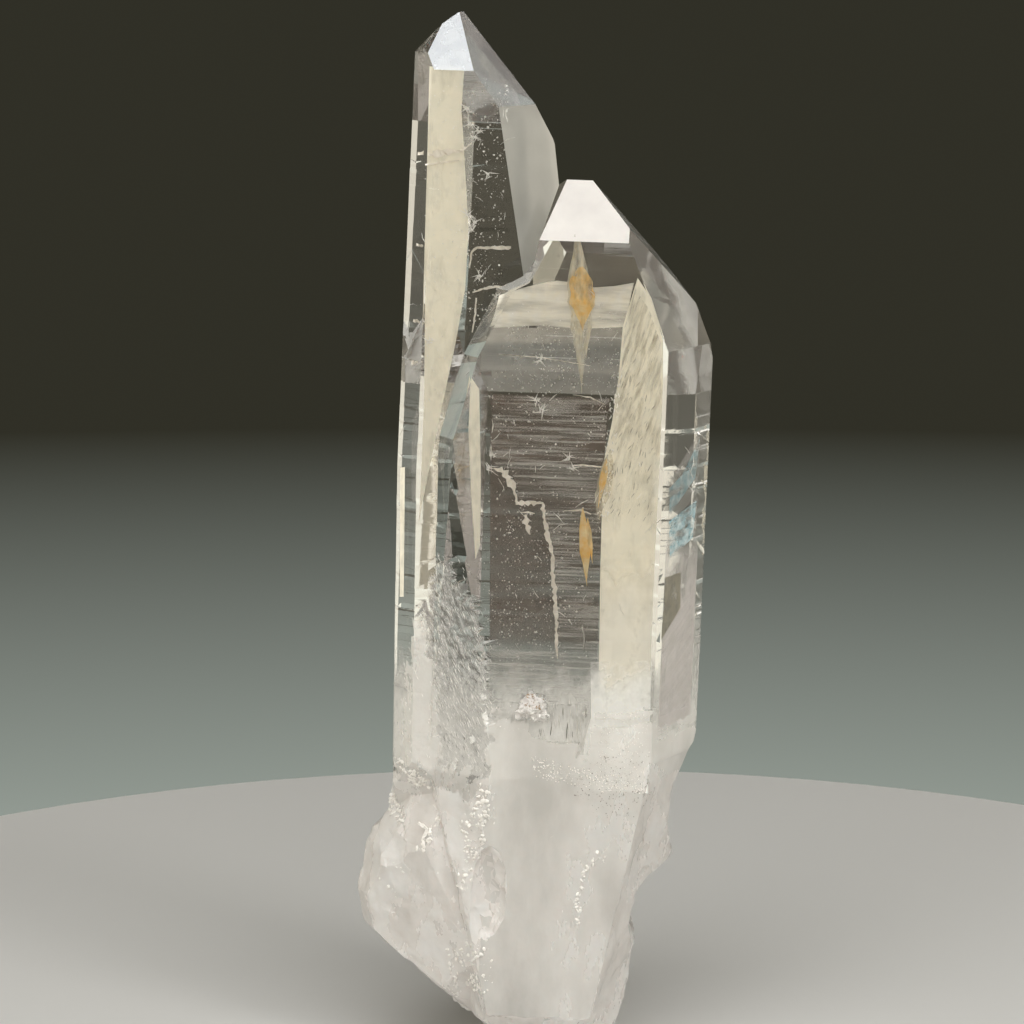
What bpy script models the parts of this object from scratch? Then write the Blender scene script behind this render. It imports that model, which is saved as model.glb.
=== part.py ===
"""Lemurian quartz: a tall slim crystal and a broad one, grown together on one broken root.

The build works in millimetres and scales the finished mesh to metres. +Z runs up, -Y is the front with
the broad crystal's widest face, +X is to its right. The origin is the middle of the flat broken foot.
Crystal faces are given by their azimuth, 0 at the front and turning towards +X, by their slope away
from the crystal's long axis, and by one point that they pass through.
"""

import math
import random

import bmesh
import bpy
import numpy as np
from mathutils import Matrix, Vector, noise

# Driving sizes, in millimetres and degrees
MM = 0.001
LEAN = 2.0  # both crystals lean this far towards +X from the upright
RHOMB = 38.2  # slope of a quartz tip face from the long axis
BLANK = 500.0  # side of the block that a crystal is cut from

BROAD_FRONT = -20.8  # y of the broad crystal's front face
BROAD_BACK = 12.8
BROAD_TOP_EDGE = 127.7  # z where the front face meets the tip face above it
BROAD_RIDGE = 136.2  # z of the short ridge on top
BROAD_SHOULDER = 110.6  # z where the right side starts to slope inwards

TALL_FRONT = -17.2
TALL_BACK = 4.0
TALL_TOP_EDGE = 151.9
TALL_RIDGE = 161.0
TALL_BOTTOM = 33.0  # the tall crystal ends inside the root

FOOT_SINK = -8.0  # the crystals run on below the foot until it is cut flat
ROOT_TOP = 50.0  # above this the crystal faces are clean
FOOT_RIM = 1.2  # height over the foot that stays as cut

# Growth ladders, the fine level ledges across the long faces
BARS_A_FACE = 7
BAR_RISER = 0.28  # height of a ledge's steep side
BAR_DEPTH = (0.08, 0.26)
CORNER_ROOM = 0.8  # no ledge comes nearer than this to the height of a crystal's corner

# Surface grain of the broken root
ROOT_EDGE = 2.7  # longest edge left there
ROOT_ROUNDS = 5  # most times that a long edge is halved
ROOT_GRAIN = 0.42
FACE_GRAIN = 0.05
GRAIN_WAVES = ((0.16, 1.0), (0.43, 0.6))  # waves for a millimetre, and their share
GRAIN_FADE_LOW = 3.0  # the grain fades out over this height at the foot
GRAIN_FADE_HIGH = 8.0  # and over this height at ROOT_TOP

# Tolerances
CUT_NEAR = 1e-5  # a cut takes points this near its plane as lying on it
WELD = 2e-3  # points nearer than this become one
ON_LADDER_FACE = 1e-3
ON_CLEAN_FACE = 2e-2


def clear_scene():
    """Removes whatever the scene holds."""
    for old in list(bpy.data.objects):
        bpy.data.objects.remove(old, do_unlink=True)


# Faces of a crystal


def face(azimuth, slope, point):
    """A plane as an outward direction and its distance from the origin."""
    turn = math.radians(azimuth)
    rise = math.radians(slope)
    normal = Vector((
        math.sin(turn) * math.cos(rise),
        -math.cos(turn) * math.cos(rise),
        math.sin(rise),
    ))
    return normal, normal.dot(Vector(point))


def face_through(first, second, third, outward):
    """The plane through three points, turned to face outward."""
    first = Vector(first)
    normal = (Vector(second) - first).cross(Vector(third) - first).normalized()
    if normal.dot(Vector(outward)) < 0:
        normal.negate()
    return normal, normal.dot(first)


def carve(planes):
    """A convex bmesh: a block with everything outside each plane cut away."""
    bm = bmesh.new()
    bmesh.ops.create_cube(bm, size=BLANK)
    for normal, distance in planes:
        whole = bm.verts[:] + bm.edges[:] + bm.faces[:]
        cut = bmesh.ops.bisect_plane(
            bm, geom=whole, dist=CUT_NEAR, plane_co=normal * distance, plane_no=normal, clear_outer=True
        )
        rim = [part for part in cut["geom_cut"] if isinstance(part, bmesh.types.BMEdge)]
        if rim:
            bmesh.ops.contextual_create(bm, geom=rim)
    bmesh.ops.recalc_face_normals(bm, faces=bm.faces)
    return bm


# Growth ladders


def ladder(low, high, seed):
    """Bars as (z of the ledge, depth under it), spread unevenly between two heights."""
    rng = random.Random(seed)
    room = (high - low) / BARS_A_FACE
    return [
        (low + room * (i + rng.uniform(0.15, 0.85)), rng.uniform(*BAR_DEPTH))
        for i in range(BARS_A_FACE)
    ]


def recess(bars, low, z):
    """How far a laddered face lies inside its plane at height z: it drifts in, then steps back out."""
    start = low
    for ledge, depth in bars:
        if z <= ledge:
            return depth * max(0.0, (z - start) / (ledge - start))
        if z < ledge + BAR_RISER:
            return depth * (ledge + BAR_RISER - z) / BAR_RISER
        start = ledge + BAR_RISER
    return 0.0


def cut_levels(bm, levels):
    """Adds an edge loop all round at each height."""
    for level in sorted(levels):
        whole = bm.verts[:] + bm.edges[:] + bm.faces[:]
        bmesh.ops.bisect_plane(bm, geom=whole, dist=CUT_NEAR, plane_co=(0, 0, level), plane_no=(0, 0, 1))


def add_ladders(bm, planes, seeds, low, high):
    """Slides the points of long faces inwards by their ladders, along the faces beside them.

    seeds gives the index of each laddered plane and the seed of its ladder.
    """
    corners = [vert.co.z for vert in bm.verts]
    bars = {
        i: [
            (ledge, depth) for ledge, depth in ladder(low, high, seed)
            if all(abs(z - ledge) > CORNER_ROOM for z in corners)
        ]
        for i, seed in seeds.items()
    }
    levels = {low}
    for rungs in bars.values():
        for ledge, _ in rungs:
            levels |= {ledge, ledge + BAR_RISER}
    cut_levels(bm, levels)
    for vert in bm.verts:
        if not low - ON_LADDER_FACE <= vert.co.z <= high:
            continue
        touching = [i for i, (n, d) in enumerate(planes) if abs(n.dot(vert.co) - d) < ON_LADDER_FACE]
        rows = [list(planes[i][0]) for i in touching]
        sums = [
            planes[i][1] - (recess(bars[i], low, vert.co.z) if i in bars else 0.0)
            for i in touching
        ]
        if len(touching) < 3:
            rows.append([0.0, 0.0, 1.0])
            sums.append(vert.co.z)
        vert.co = Vector(np.linalg.lstsq(np.array(rows), np.array(sums), rcond=None)[0])


def solid(name, bm):
    """An object that holds the bmesh."""
    mesh = bpy.data.meshes.new(name)
    bm.to_mesh(mesh)
    bm.free()
    made = bpy.data.objects.new(name, mesh)
    bpy.context.collection.objects.link(made)
    return made


# The two crystals and the root


def broad_planes():
    """The broad crystal's six long faces first, then its tip and its lower end."""
    front = BROAD_FRONT
    top = BROAD_TOP_EDGE
    return [
        face(0, 0, (0, front, 0)),
        face(60, 0, (12.9, front, 0)),
        face(124.5, 0, (20.2, -8.0, 0)),
        face(180, 0, (0, BROAD_BACK, 0)),
        face(240, 0, (-13.7, BROAD_BACK, 0)),
        face(300, 0, (-18.5, front, 0)),
        face(0, RHOMB, (0, front, top)),
        face(60, 19.5, (6.4, front, top)),
        face(120, 20.0, (19.8, -8.0, BROAD_SHOULDER)),
        face(88, 41.4, (1.3, -14.0, 135.8)),
        face(120, RHOMB, (13.0, -6.0, 123.0)),
        face(180, RHOMB, (0, -14.1, BROAD_RIDGE)),
        face(240, 34.0, (-10.0, -2.0, 122.0)),
        face(300, RHOMB, (-6.8, front, top)),
        face(300, 22.5, (-6.8, front, top)),
        face(300, 12.7, (-15.4, front, 109.5)),
        face(60, -9.4, (12.9, front, 49.0)),
        face(290, -12.0, (-20.5, TALL_FRONT, 47.0)),
        face(90, -80.0, (0, 0, FOOT_SINK)),
    ]


def away(plane):
    """The plane turned round, so that a cutter keeps what lies outside it."""
    normal, distance = plane
    return -normal, -distance


def flank_cutter():
    """What the etched flank, and the side under it, take off the broad crystal's front left edge."""
    front = BROAD_FRONT
    flank = face_through((-18.3, front, 96), (-11.2, front, 49), (-23.6, TALL_FRONT, 70), (-1, -1, 0))
    under_flank = face(328, 3.0, (-11.9, front, 40.0))
    return solid("flank_cutter", carve([away(flank), away(under_flank)]))


def tip_notch():
    """What is missing left of the broad crystal's tip, where the tall one's frosted face runs past it."""
    top_left = (-6.8, BROAD_FRONT, BROAD_TOP_EDGE)
    beside = face_through(top_left, (-4.0, -14.1, BROAD_RIDGE), (-5.3, -10.9, 126.0), (-1, 0, 0))
    under = face(300, 58.0, (-9.3, -18.0, 121.5))
    return solid("tip_notch", carve([away(beside), away(under)]))


def broad_crystal():
    planes = broad_planes()
    bm = carve(planes)
    seeds = {i: 11 + i for i in range(5)}
    add_ladders(bm, planes, seeds, ROOT_TOP + 4, BROAD_SHOULDER - 3)
    crystal = solid("broad_crystal", bm)
    combine(crystal, flank_cutter(), "DIFFERENCE")
    combine(crystal, tip_notch(), "DIFFERENCE")
    return crystal


def tall_planes():
    """The tall crystal's long faces first, the second one frosted and sloping, then its tip.

    Its two left faces lean in both ways from their widest height, so each is a pair of planes.
    """
    front = TALL_FRONT
    top = TALL_TOP_EDGE
    return [
        face(0, 0, (0, front, 0)),
        face(60, 9.0, (-13.4, front, 146.5)),
        face(120, 5.0, (-2.6, -7.7, 139.0)),
        face(180, 0, (0, TALL_BACK, 0)),
        face(240, 0.65, (-26.8, -11.8, 92.0)),
        face(300, 0.65, (-23.9, front, 92.0)),
        face(240, -0.7, (-26.8, -11.8, 92.0)),
        face(300, -0.7, (-23.9, front, 92.0)),
        face(0, RHOMB, (0, front, top)),
        face(60, 33.0, (-17.3, front, top)),
        face(120, 24.0, (-3.8, -8.7, 143.8)),
        face(120, RHOMB, (-4.4, -12.7, 146.0)),
        face(180, RHOMB, (0, -10.1, TALL_RIDGE)),
        face(240, RHOMB, (-25.7, -12.1, 154.6)),
        face(300, RHOMB, (-25.7, -12.1, 154.6)),
        face(335, -32.0, (-22.0, front, 46.5)),
        face(0, -90.0, (0, 0, TALL_BOTTOM)),
    ]


def tall_crystal():
    planes = tall_planes()
    bm = carve(planes)
    seeds = {0: 29, 3: 32, 4: 33, 5: 34, 6: 33, 7: 34}
    add_ladders(bm, planes, seeds, ROOT_TOP + 1, 143.0)
    return solid("tall_crystal", bm)


# Left outline of the root as (x, z), from the tall crystal's lower end to where it turns under
ROOT_OUTLINE = (
    (-24.6, 45.5),
    (-30.2, 31.0),
    (-31.5, 24.0),
    (-30.4, 18.4),
)
ROOT_WIDEST = -6.0  # y where the root reaches furthest left
ROOT_BEVEL = 0.42  # how much its facets turn away to the front and the back of there

# Outlines of the lower end that every piece keeps inside, each running down to the foot
UNDER_LEFT = ((-30.4, 18.4), (-8.6, 0.0))
UNDER_RIGHT = ((20.5, 51.0), (17.2, 31.4), (9.0, 0.0))
UNDER_FRONT = (-20.9, 9.0, -30.0)  # y and z where the front turns under, and its slope
UNDER_BACK = (12.9, 22.0, -14.0)


def stretches(outline, side, bevel):
    """Two facets, one turned a little to the front and one to the back, for each stretch of an outline."""
    planes = []
    for (x0, z0), (x1, z1) in zip(outline, outline[1:]):
        along = Vector((x1 - x0, 0, z1 - z0)).normalized()
        for turn in (-bevel, bevel):
            normal = Vector((-side * along.z, turn, side * along.x)).normalized()
            planes.append((normal, normal.dot(Vector((x0, ROOT_WIDEST, z0)))))
    return planes


def broken_root():
    """The knobbly mass at the left that both crystals grow out of."""
    planes = stretches(ROOT_OUTLINE, -1, ROOT_BEVEL)
    planes += [
        face(325, 14.0, (-22.0, -14.6, 38.0)),
        face(332, -10.0, (-20.0, -15.4, 24.0)),
        face(350, -30.0, (-14.0, -14.6, 11.0)),
        face(0, 4.0, (0, -17.0, 30.0)),
        face(330, 50.0, (-22.0, -12.0, 47.0)),
        face(180, 12.0, (0, 8.5, 24.0)),
        face(212, -8.0, (-18.0, 7.5, 22.0)),
        face(180, -26.0, (0, 9.5, 18.0)),
        face(75, 0.0, (6.0, 0, 0)),
        face(180, 62.0, (-14.0, 0.0, 50.0)),
        face(0, -90.0, (0, 0, FOOT_SINK)),
    ]
    return solid("broken_root", carve(planes))


def lower_envelope():
    """The block that the lower end is broken to: the stone tapers under it on every side."""
    planes = stretches(UNDER_LEFT, -1, 0.3) + stretches(UNDER_RIGHT, 1, 0.16)
    planes += [
        face(0, UNDER_FRONT[2], (0, UNDER_FRONT[0], UNDER_FRONT[1])),
        face(180, UNDER_BACK[2], (0, UNDER_BACK[0], UNDER_BACK[1])),
        face(222, -24.0, (-15.0, 9.5, 22.0)),
        face(0, -90.0, (0, 0, FOOT_SINK)),
    ]
    return solid("lower_envelope", carve(planes))


def knob():
    """A little broken point that stands out of the broad crystal's front face."""
    bm = carve([
        face(0, 24.0, (-5.4, -21.9, 57.6)),
        face(50, 5.0, (-3.6, -21.5, 56.5)),
        face(300, 8.0, (-7.2, -21.5, 56.0)),
        face(20, 62.0, (-5.0, -21.5, 59.2)),
        face(330, 35.0, (-6.4, -21.7, 58.4)),
        face(0, -38.0, (-5.2, -21.8, 56.6)),
        face(180, 0, (0, -19.0, 0)),
        face(0, -90.0, (0, 0, 52.0)),
    ])
    return solid("knob", bm)


# Joining and chipping


def combine(base, other, operation):
    """Joins other to base, or cuts it away, and removes it."""
    step = base.modifiers.new(operation.lower(), "BOOLEAN")
    step.operation = operation
    step.object = other
    evaluated = base.evaluated_get(bpy.context.evaluated_depsgraph_get())
    result = bpy.data.meshes.new_from_object(evaluated)
    base.modifiers.remove(step)
    base.data = result
    bpy.data.objects.remove(other, do_unlink=True)


def scoop(centre, radii):
    """A shell-shaped chip: an ellipsoid that is cut out of the stone."""
    bm = bmesh.new()
    bmesh.ops.create_icosphere(bm, subdivisions=3, radius=1.0)
    bmesh.ops.transform(bm, matrix=Matrix.Diagonal((*radii, 1.0)), verts=bm.verts)
    bmesh.ops.translate(bm, vec=centre, verts=bm.verts)
    return solid("scoop", bm)


def scoop_between(high, low, sag, middle_y, long_y):
    """A chip on the right side whose hollow runs from one outline point (x, z) down to another."""
    chord = Vector((high[0] - low[0], high[1] - low[1]))
    radius = (chord.length**2 / 4 + sag**2) / (2 * sag)
    middle = Vector(((high[0] + low[0]) / 2, (high[1] + low[1]) / 2))
    outward = Vector((chord.y, -chord.x)).normalized()
    centre = middle + outward * (radius - sag)
    return scoop((centre.x, middle_y, centre.y), (radius, long_y, radius))


def chips():
    """Every broken hollow on the lower end, as cutters."""
    return [
        scoop_between((20.9, 51.5), (17.0, 32.0), 2.6, -7.0, 220.0),
        scoop_between((17.4, 31.0), (12.0, 17.8), 3.8, -9.0, 220.0),
        scoop_between((12.0, 19.2), (8.8, -1.0), 0.9, -7.0, 160.0),
        scoop_between((-8.0, 0.5), (-30.0, 18.0), 2.2, -8.0, 60.0),
        scoop_between((18.4, 34.0), (11.6, 4.0), 2.6, 12.0, 14.0),
        scoop((-11.1, -28.5, 28.1), (6.0, 9.0, 14.5)),
        scoop((-22.0, -25.5, 8.0), (12.0, 13.0, 12.0)),
        scoop((-31.5, -19.5, 34.0), (9.5, 8.6, 12.0)),
        scoop((-35.0, 8.0, 28.0), (12.0, 10.0, 15.0)),
        scoop((-16.0, 21.5, 27.0), (17.0, 13.0, 20.0)),
        scoop((6.0, 24.4, 12.0), (20.0, 13.0, 17.0)),
        scoop((24.0, -27.0, 25.0), (11.0, 11.0, 17.0)),
        scoop((-33.0, -4.0, 38.5), (6.5, 14.0, 6.0)),
    ]


# Finishing the solid


def on_any(planes, point):
    """True if the point lies on one of the planes."""
    return any(abs(normal.dot(point) - distance) < ON_CLEAN_FACE for normal, distance in planes)


def flatten_foot(bm):
    """Cuts the lower end off level at z = 0."""
    whole = bm.verts[:] + bm.edges[:] + bm.faces[:]
    cut = bmesh.ops.bisect_plane(
        bm, geom=whole, dist=CUT_NEAR, plane_co=(0, 0, 0), plane_no=(0, 0, -1), clear_outer=True
    )
    rim = [part for part in cut["geom_cut"] if isinstance(part, bmesh.types.BMEdge)]
    bmesh.ops.contextual_create(bm, geom=rim)


def refine_root(bm):
    """Splits the long edges under ROOT_TOP until the grain has points to move."""
    for _ in range(ROOT_ROUNDS):
        bmesh.ops.triangulate(bm, faces=bm.faces)
        long_edges = [
            edge for edge in bm.edges
            if edge.calc_length() > ROOT_EDGE
            and FOOT_RIM < max(v.co.z for v in edge.verts)
            and min(v.co.z for v in edge.verts) < ROOT_TOP
        ]
        if not long_edges:
            return
        bmesh.ops.subdivide_edges(bm, edges=long_edges, cuts=1, use_grid_fill=False)


def add_grain(bm, clean_planes):
    """Gives the broken surfaces low waves and grain, and the lower crystal faces a trace of it."""
    bm.normal_update()
    moves = []
    for vert in bm.verts:
        above_foot = (vert.co.z - FOOT_RIM) / GRAIN_FADE_LOW
        below_top = (ROOT_TOP - vert.co.z) / GRAIN_FADE_HIGH
        fade = min(1.0, max(0.0, above_foot)) * min(1.0, max(0.0, below_top))
        if fade == 0.0:
            continue
        amount = FACE_GRAIN if on_any(clean_planes, vert.co) else ROOT_GRAIN
        wave = sum(share * noise.noise(vert.co * pitch) for pitch, share in GRAIN_WAVES)
        moves.append((vert, vert.normal * (amount * fade * wave)))
    for vert, move in moves:
        vert.co += move


def quartz_material():
    """Clear to milky quartz."""
    material = bpy.data.materials.new("clear_quartz")
    material.use_nodes = True
    shader = material.node_tree.nodes["Principled BSDF"]
    shader.inputs["Base Color"].default_value = (0.93, 0.92, 0.89, 1.0)
    shader.inputs["Roughness"].default_value = 0.08
    shader.inputs["Metallic"].default_value = 0.0
    shader.inputs["IOR"].default_value = 1.544
    shader.inputs["Transmission Weight"].default_value = 1.0
    return material


def finish(stone):
    """Leans the stone, cuts its foot, roughens the root and scales everything to metres."""
    bm = bmesh.new()
    bm.from_mesh(stone.data)
    bmesh.ops.remove_doubles(bm, verts=bm.verts, dist=WELD)
    refine_root(bm)
    clean = broad_planes()[:8] + tall_planes()[:8]
    add_grain(bm, clean)
    bmesh.ops.rotate(
        bm, cent=(0, 0, 0), matrix=Matrix.Rotation(math.radians(LEAN), 3, "Y"), verts=bm.verts
    )
    flatten_foot(bm)
    bmesh.ops.triangulate(bm, faces=bm.faces)
    bmesh.ops.dissolve_degenerate(bm, dist=WELD, edges=bm.edges)
    bmesh.ops.triangulate(bm, faces=bm.faces)
    bmesh.ops.scale(bm, vec=(MM, MM, MM), verts=bm.verts)
    bm.to_mesh(stone.data)
    bm.free()
    stone.data.shade_flat()
    stone.data.materials.clear()
    stone.data.materials.append(quartz_material())


def main():
    clear_scene()
    stone = broad_crystal()
    combine(stone, tall_crystal(), "UNION")
    combine(stone, broken_root(), "UNION")
    combine(stone, lower_envelope(), "INTERSECT")
    for chip in chips():
        combine(stone, chip, "DIFFERENCE")
    combine(stone, knob(), "UNION")
    finish(stone)
    stone.name = "quartz_cluster"
    stone.data.name = "quartz_cluster"


main()
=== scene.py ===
"""Lemurian quartz, dressed: the stone's fine surface, what lies inside it, its light and its camera.

Shapes are given in millimetres in the stone's own upright frame, and TO_WORLD leans and scales them into
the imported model's frame. +Z runs up the crystals and -Y is the front.
"""

import logging
import math
import random
from collections.abc import Iterable, Sequence
from dataclasses import dataclass
from enum import Enum

import bmesh
import bpy
import numpy as np
from mathutils import Matrix, Vector, noise
from mathutils.kdtree import KDTree


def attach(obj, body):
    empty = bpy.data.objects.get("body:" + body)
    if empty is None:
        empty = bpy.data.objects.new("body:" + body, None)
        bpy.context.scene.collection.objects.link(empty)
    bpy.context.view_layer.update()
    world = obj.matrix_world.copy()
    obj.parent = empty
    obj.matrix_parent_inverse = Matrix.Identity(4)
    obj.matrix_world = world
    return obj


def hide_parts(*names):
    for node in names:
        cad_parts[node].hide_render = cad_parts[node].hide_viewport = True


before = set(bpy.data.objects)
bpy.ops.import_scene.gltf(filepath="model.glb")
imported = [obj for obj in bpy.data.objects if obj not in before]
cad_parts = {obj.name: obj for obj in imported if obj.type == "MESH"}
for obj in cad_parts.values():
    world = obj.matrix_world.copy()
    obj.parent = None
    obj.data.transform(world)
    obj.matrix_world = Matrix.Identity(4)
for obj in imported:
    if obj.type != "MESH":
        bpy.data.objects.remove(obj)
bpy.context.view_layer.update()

log = logging.getLogger("lemurian_quartz")

Colour = tuple[float, float, float]
Point = tuple[float, float, float]
Node = bpy.types.Node
Socket = bpy.types.NodeSocket

MM = 0.001
LEAN = math.radians(2.0)
TO_WORLD = Matrix.Scale(MM, 4) @ Matrix.Rotation(LEAN, 4, "Y")
TO_STONE = TO_WORLD.inverted()

STONE_NODE = "quartz_cluster"
QUARTZ_IOR = 1.544
BROAD_FRONT = -20.8
TALL_FRONT = -17.2
GLOW_RADIUS = (1.0, 0.9, 0.86)
GLOW_DEPTH = 0.0018
NOISE_SEED = 11  # noise vectors come out alike in every run
CLOUD_EDGE = 0.16
CLEAN_CUT = 1e-4  # points this near a cutting plane lie on it
FRONTWARD = -0.3  # a face whose direction has less y than this shows from the front
SORTING_WAY = (0.137, 0.311, 0.941)  # faces are taken in this direction's order, alike in every run


# Shader node helpers


class Graph:
    """A node tree with short ways to add and join nodes."""

    def __init__(self, tree: bpy.types.NodeTree) -> None:
        """Keeps the tree that nodes are added to."""
        self.tree = tree

    def node(self, kind: str, inputs: dict[str | int, object] | None = None, **settings: object) -> Node:
        """Adds a node, sets its properties and fills its inputs.

        Args:
            kind: Blender's type name of the node.
            inputs: a value or an output socket for each input, by name or number.
            settings: properties of the node itself.

        Returns:
            The new node.
        """
        made = self.tree.nodes.new(kind)
        for key, value in settings.items():
            setattr(made, key, value)
        for key, value in (inputs or {}).items():
            if isinstance(value, Socket):
                self.tree.links.new(value, made.inputs[key])
            else:
                made.inputs[key].default_value = value
        return made

    def math(self, operation: str, first: object, second: object = 0.0, clamp: bool = False) -> Socket:
        """Adds a Math node.

        Args:
            operation: what it does, such as MULTIPLY.
            first: its first value or socket.
            second: its second value or socket.
            clamp: True to keep the result between 0 and 1.

        Returns:
            The result's socket.
        """
        made = self.node("ShaderNodeMath", {0: first, 1: second}, operation=operation, use_clamp=clamp)
        return made.outputs[0]

    def scaled(self, place: Socket, scale: Point) -> Socket:
        """Multiplies a point by a scale along each axis."""
        return self.node("ShaderNodeVectorMath", {0: place, 1: scale}, operation="MULTIPLY").outputs[0]

    def blend(self, share: object, first: object, second: object) -> Socket:
        """Mixes two colours.

        Args:
            share: how much of the second shows.
            first: a colour or socket.
            second: a colour or socket.

        Returns:
            The mixed colour's socket.
        """
        made = self.node("ShaderNodeMix", data_type="RGBA")
        for number, value in ((0, share), (6, first), (7, second)):
            if isinstance(value, Socket):
                self.tree.links.new(value, made.inputs[number])
            else:
                made.inputs[number].default_value = value
        return made.outputs[2]

    def ramp(self, value: Socket, low: float, high: float) -> Socket:
        """Stretches a value so that low becomes 0 and high becomes 1.

        Args:
            value: the socket to stretch.
            low: what becomes 0.
            high: what becomes 1.

        Returns:
            The stretched value's socket, kept between 0 and 1.
        """
        made = self.node("ShaderNodeMapRange", {0: value, 1: low, 2: high}, clamp=True)
        return made.outputs[0]


def new_group(name: str, inputs: dict[str, tuple[str, object]], outputs: dict[str, str]) -> Graph:
    """Starts a shader node group with named sockets.

    Args:
        name: the group's name.
        inputs: the kind and default of each input, by name.
        outputs: the kind of each output, by name.

    Returns:
        The group's graph, which holds nodes named inlet and outlet.
    """
    tree = bpy.data.node_groups.new(name, "ShaderNodeTree")
    for label, (kind, default) in inputs.items():
        made = tree.interface.new_socket(label, in_out="INPUT", socket_type=f"NodeSocket{kind}")
        if default is not None:
            made.default_value = default
    for label, kind in outputs.items():
        tree.interface.new_socket(label, in_out="OUTPUT", socket_type=f"NodeSocket{kind}")
    tree.nodes.new("NodeGroupInput").name = "inlet"
    tree.nodes.new("NodeGroupOutput").name = "outlet"
    return Graph(tree)


class Effects:
    """The surface effects that several finishes share, each built once."""

    def __init__(self) -> None:
        """Builds every group."""
        self.ledges = self.build_ledges()
        self.clouds = self.build_clouds()
        self.grain = self.build_grain()

    @staticmethod
    def build_ledges() -> bpy.types.NodeTree:
        """Level growth lines that wander a little and fade in and out along a face."""
        graph = new_group(
            "growth_lines",
            {"Place": ("Vector", None), "Lines per mm": ("Float", 1.6), "Cover": ("Float", 0.5)},
            {"Height": "Float"},
        )
        nodes = graph.tree.nodes
        place = nodes["inlet"].outputs["Place"]
        squeeze = graph.scaled(place, (0.014, 0.014, 1.0))
        lines = graph.node(
            "ShaderNodeTexNoise",
            {"Vector": squeeze, "Scale": nodes["inlet"].outputs["Lines per mm"],
             "Detail": 3.0, "Roughness": 0.65},
        )
        wide = graph.scaled(place, (0.09, 0.09, 0.16))
        patches = graph.node("ShaderNodeTexNoise", {"Vector": wide, "Scale": 1.0, "Detail": 1.0})
        start = graph.math("SUBTRACT", 1.0, nodes["inlet"].outputs["Cover"])
        shown = graph.node("ShaderNodeMapRange", {0: patches.outputs[0], 1: start, 2: 0.85}, clamp=True)
        height = graph.math("MULTIPLY", lines.outputs[0], shown.outputs[0])
        graph.tree.links.new(height, nodes["outlet"].inputs["Height"])
        return graph.tree

    @staticmethod
    def build_clouds() -> bpy.types.NodeTree:
        """Milky clouds with soft edges."""
        graph = new_group(
            "milky_clouds",
            {"Place": ("Vector", None), "Size mm": ("Float", 8.0), "Cover": ("Float", 0.5)},
            {"Mask": "Float"},
        )
        nodes = graph.tree.nodes
        pitch = graph.math("DIVIDE", 1.0, nodes["inlet"].outputs["Size mm"])
        clouds = graph.node(
            "ShaderNodeTexNoise",
            {"Vector": nodes["inlet"].outputs["Place"], "Scale": pitch, "Detail": 5.0, "Roughness": 0.6},
        )
        start = graph.math("SUBTRACT", 1.0, nodes["inlet"].outputs["Cover"])
        low = graph.math("SUBTRACT", start, CLOUD_EDGE)
        high = graph.math("ADD", start, CLOUD_EDGE)
        mask = graph.node("ShaderNodeMapRange", {0: clouds.outputs[0], 1: low, 2: high}, clamp=True)
        graph.tree.links.new(mask.outputs[0], nodes["outlet"].inputs["Mask"])
        return graph.tree

    @staticmethod
    def build_grain() -> bpy.types.NodeTree:
        """Pits and grain of an etched or broken surface."""
        graph = new_group(
            "etched_grain",
            {"Place": ("Vector", None), "Size mm": ("Float", 0.6)},
            {"Height": "Float"},
        )
        nodes = graph.tree.nodes
        pitch = graph.math("DIVIDE", 1.0, nodes["inlet"].outputs["Size mm"])
        pits = graph.node(
            "ShaderNodeTexVoronoi", {"Vector": nodes["inlet"].outputs["Place"], "Scale": pitch},
            feature="SMOOTH_F1",
        )
        fine = graph.node(
            "ShaderNodeTexNoise",
            {"Vector": nodes["inlet"].outputs["Place"], "Scale": graph.math("MULTIPLY", pitch, 2.3),
             "Detail": 3.0},
        )
        height = graph.math("ADD", pits.outputs["Distance"], graph.math("MULTIPLY", fine.outputs[0], 0.5))
        graph.tree.links.new(height, nodes["outlet"].inputs["Height"])
        return graph.tree


# Finishes of the quartz


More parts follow.
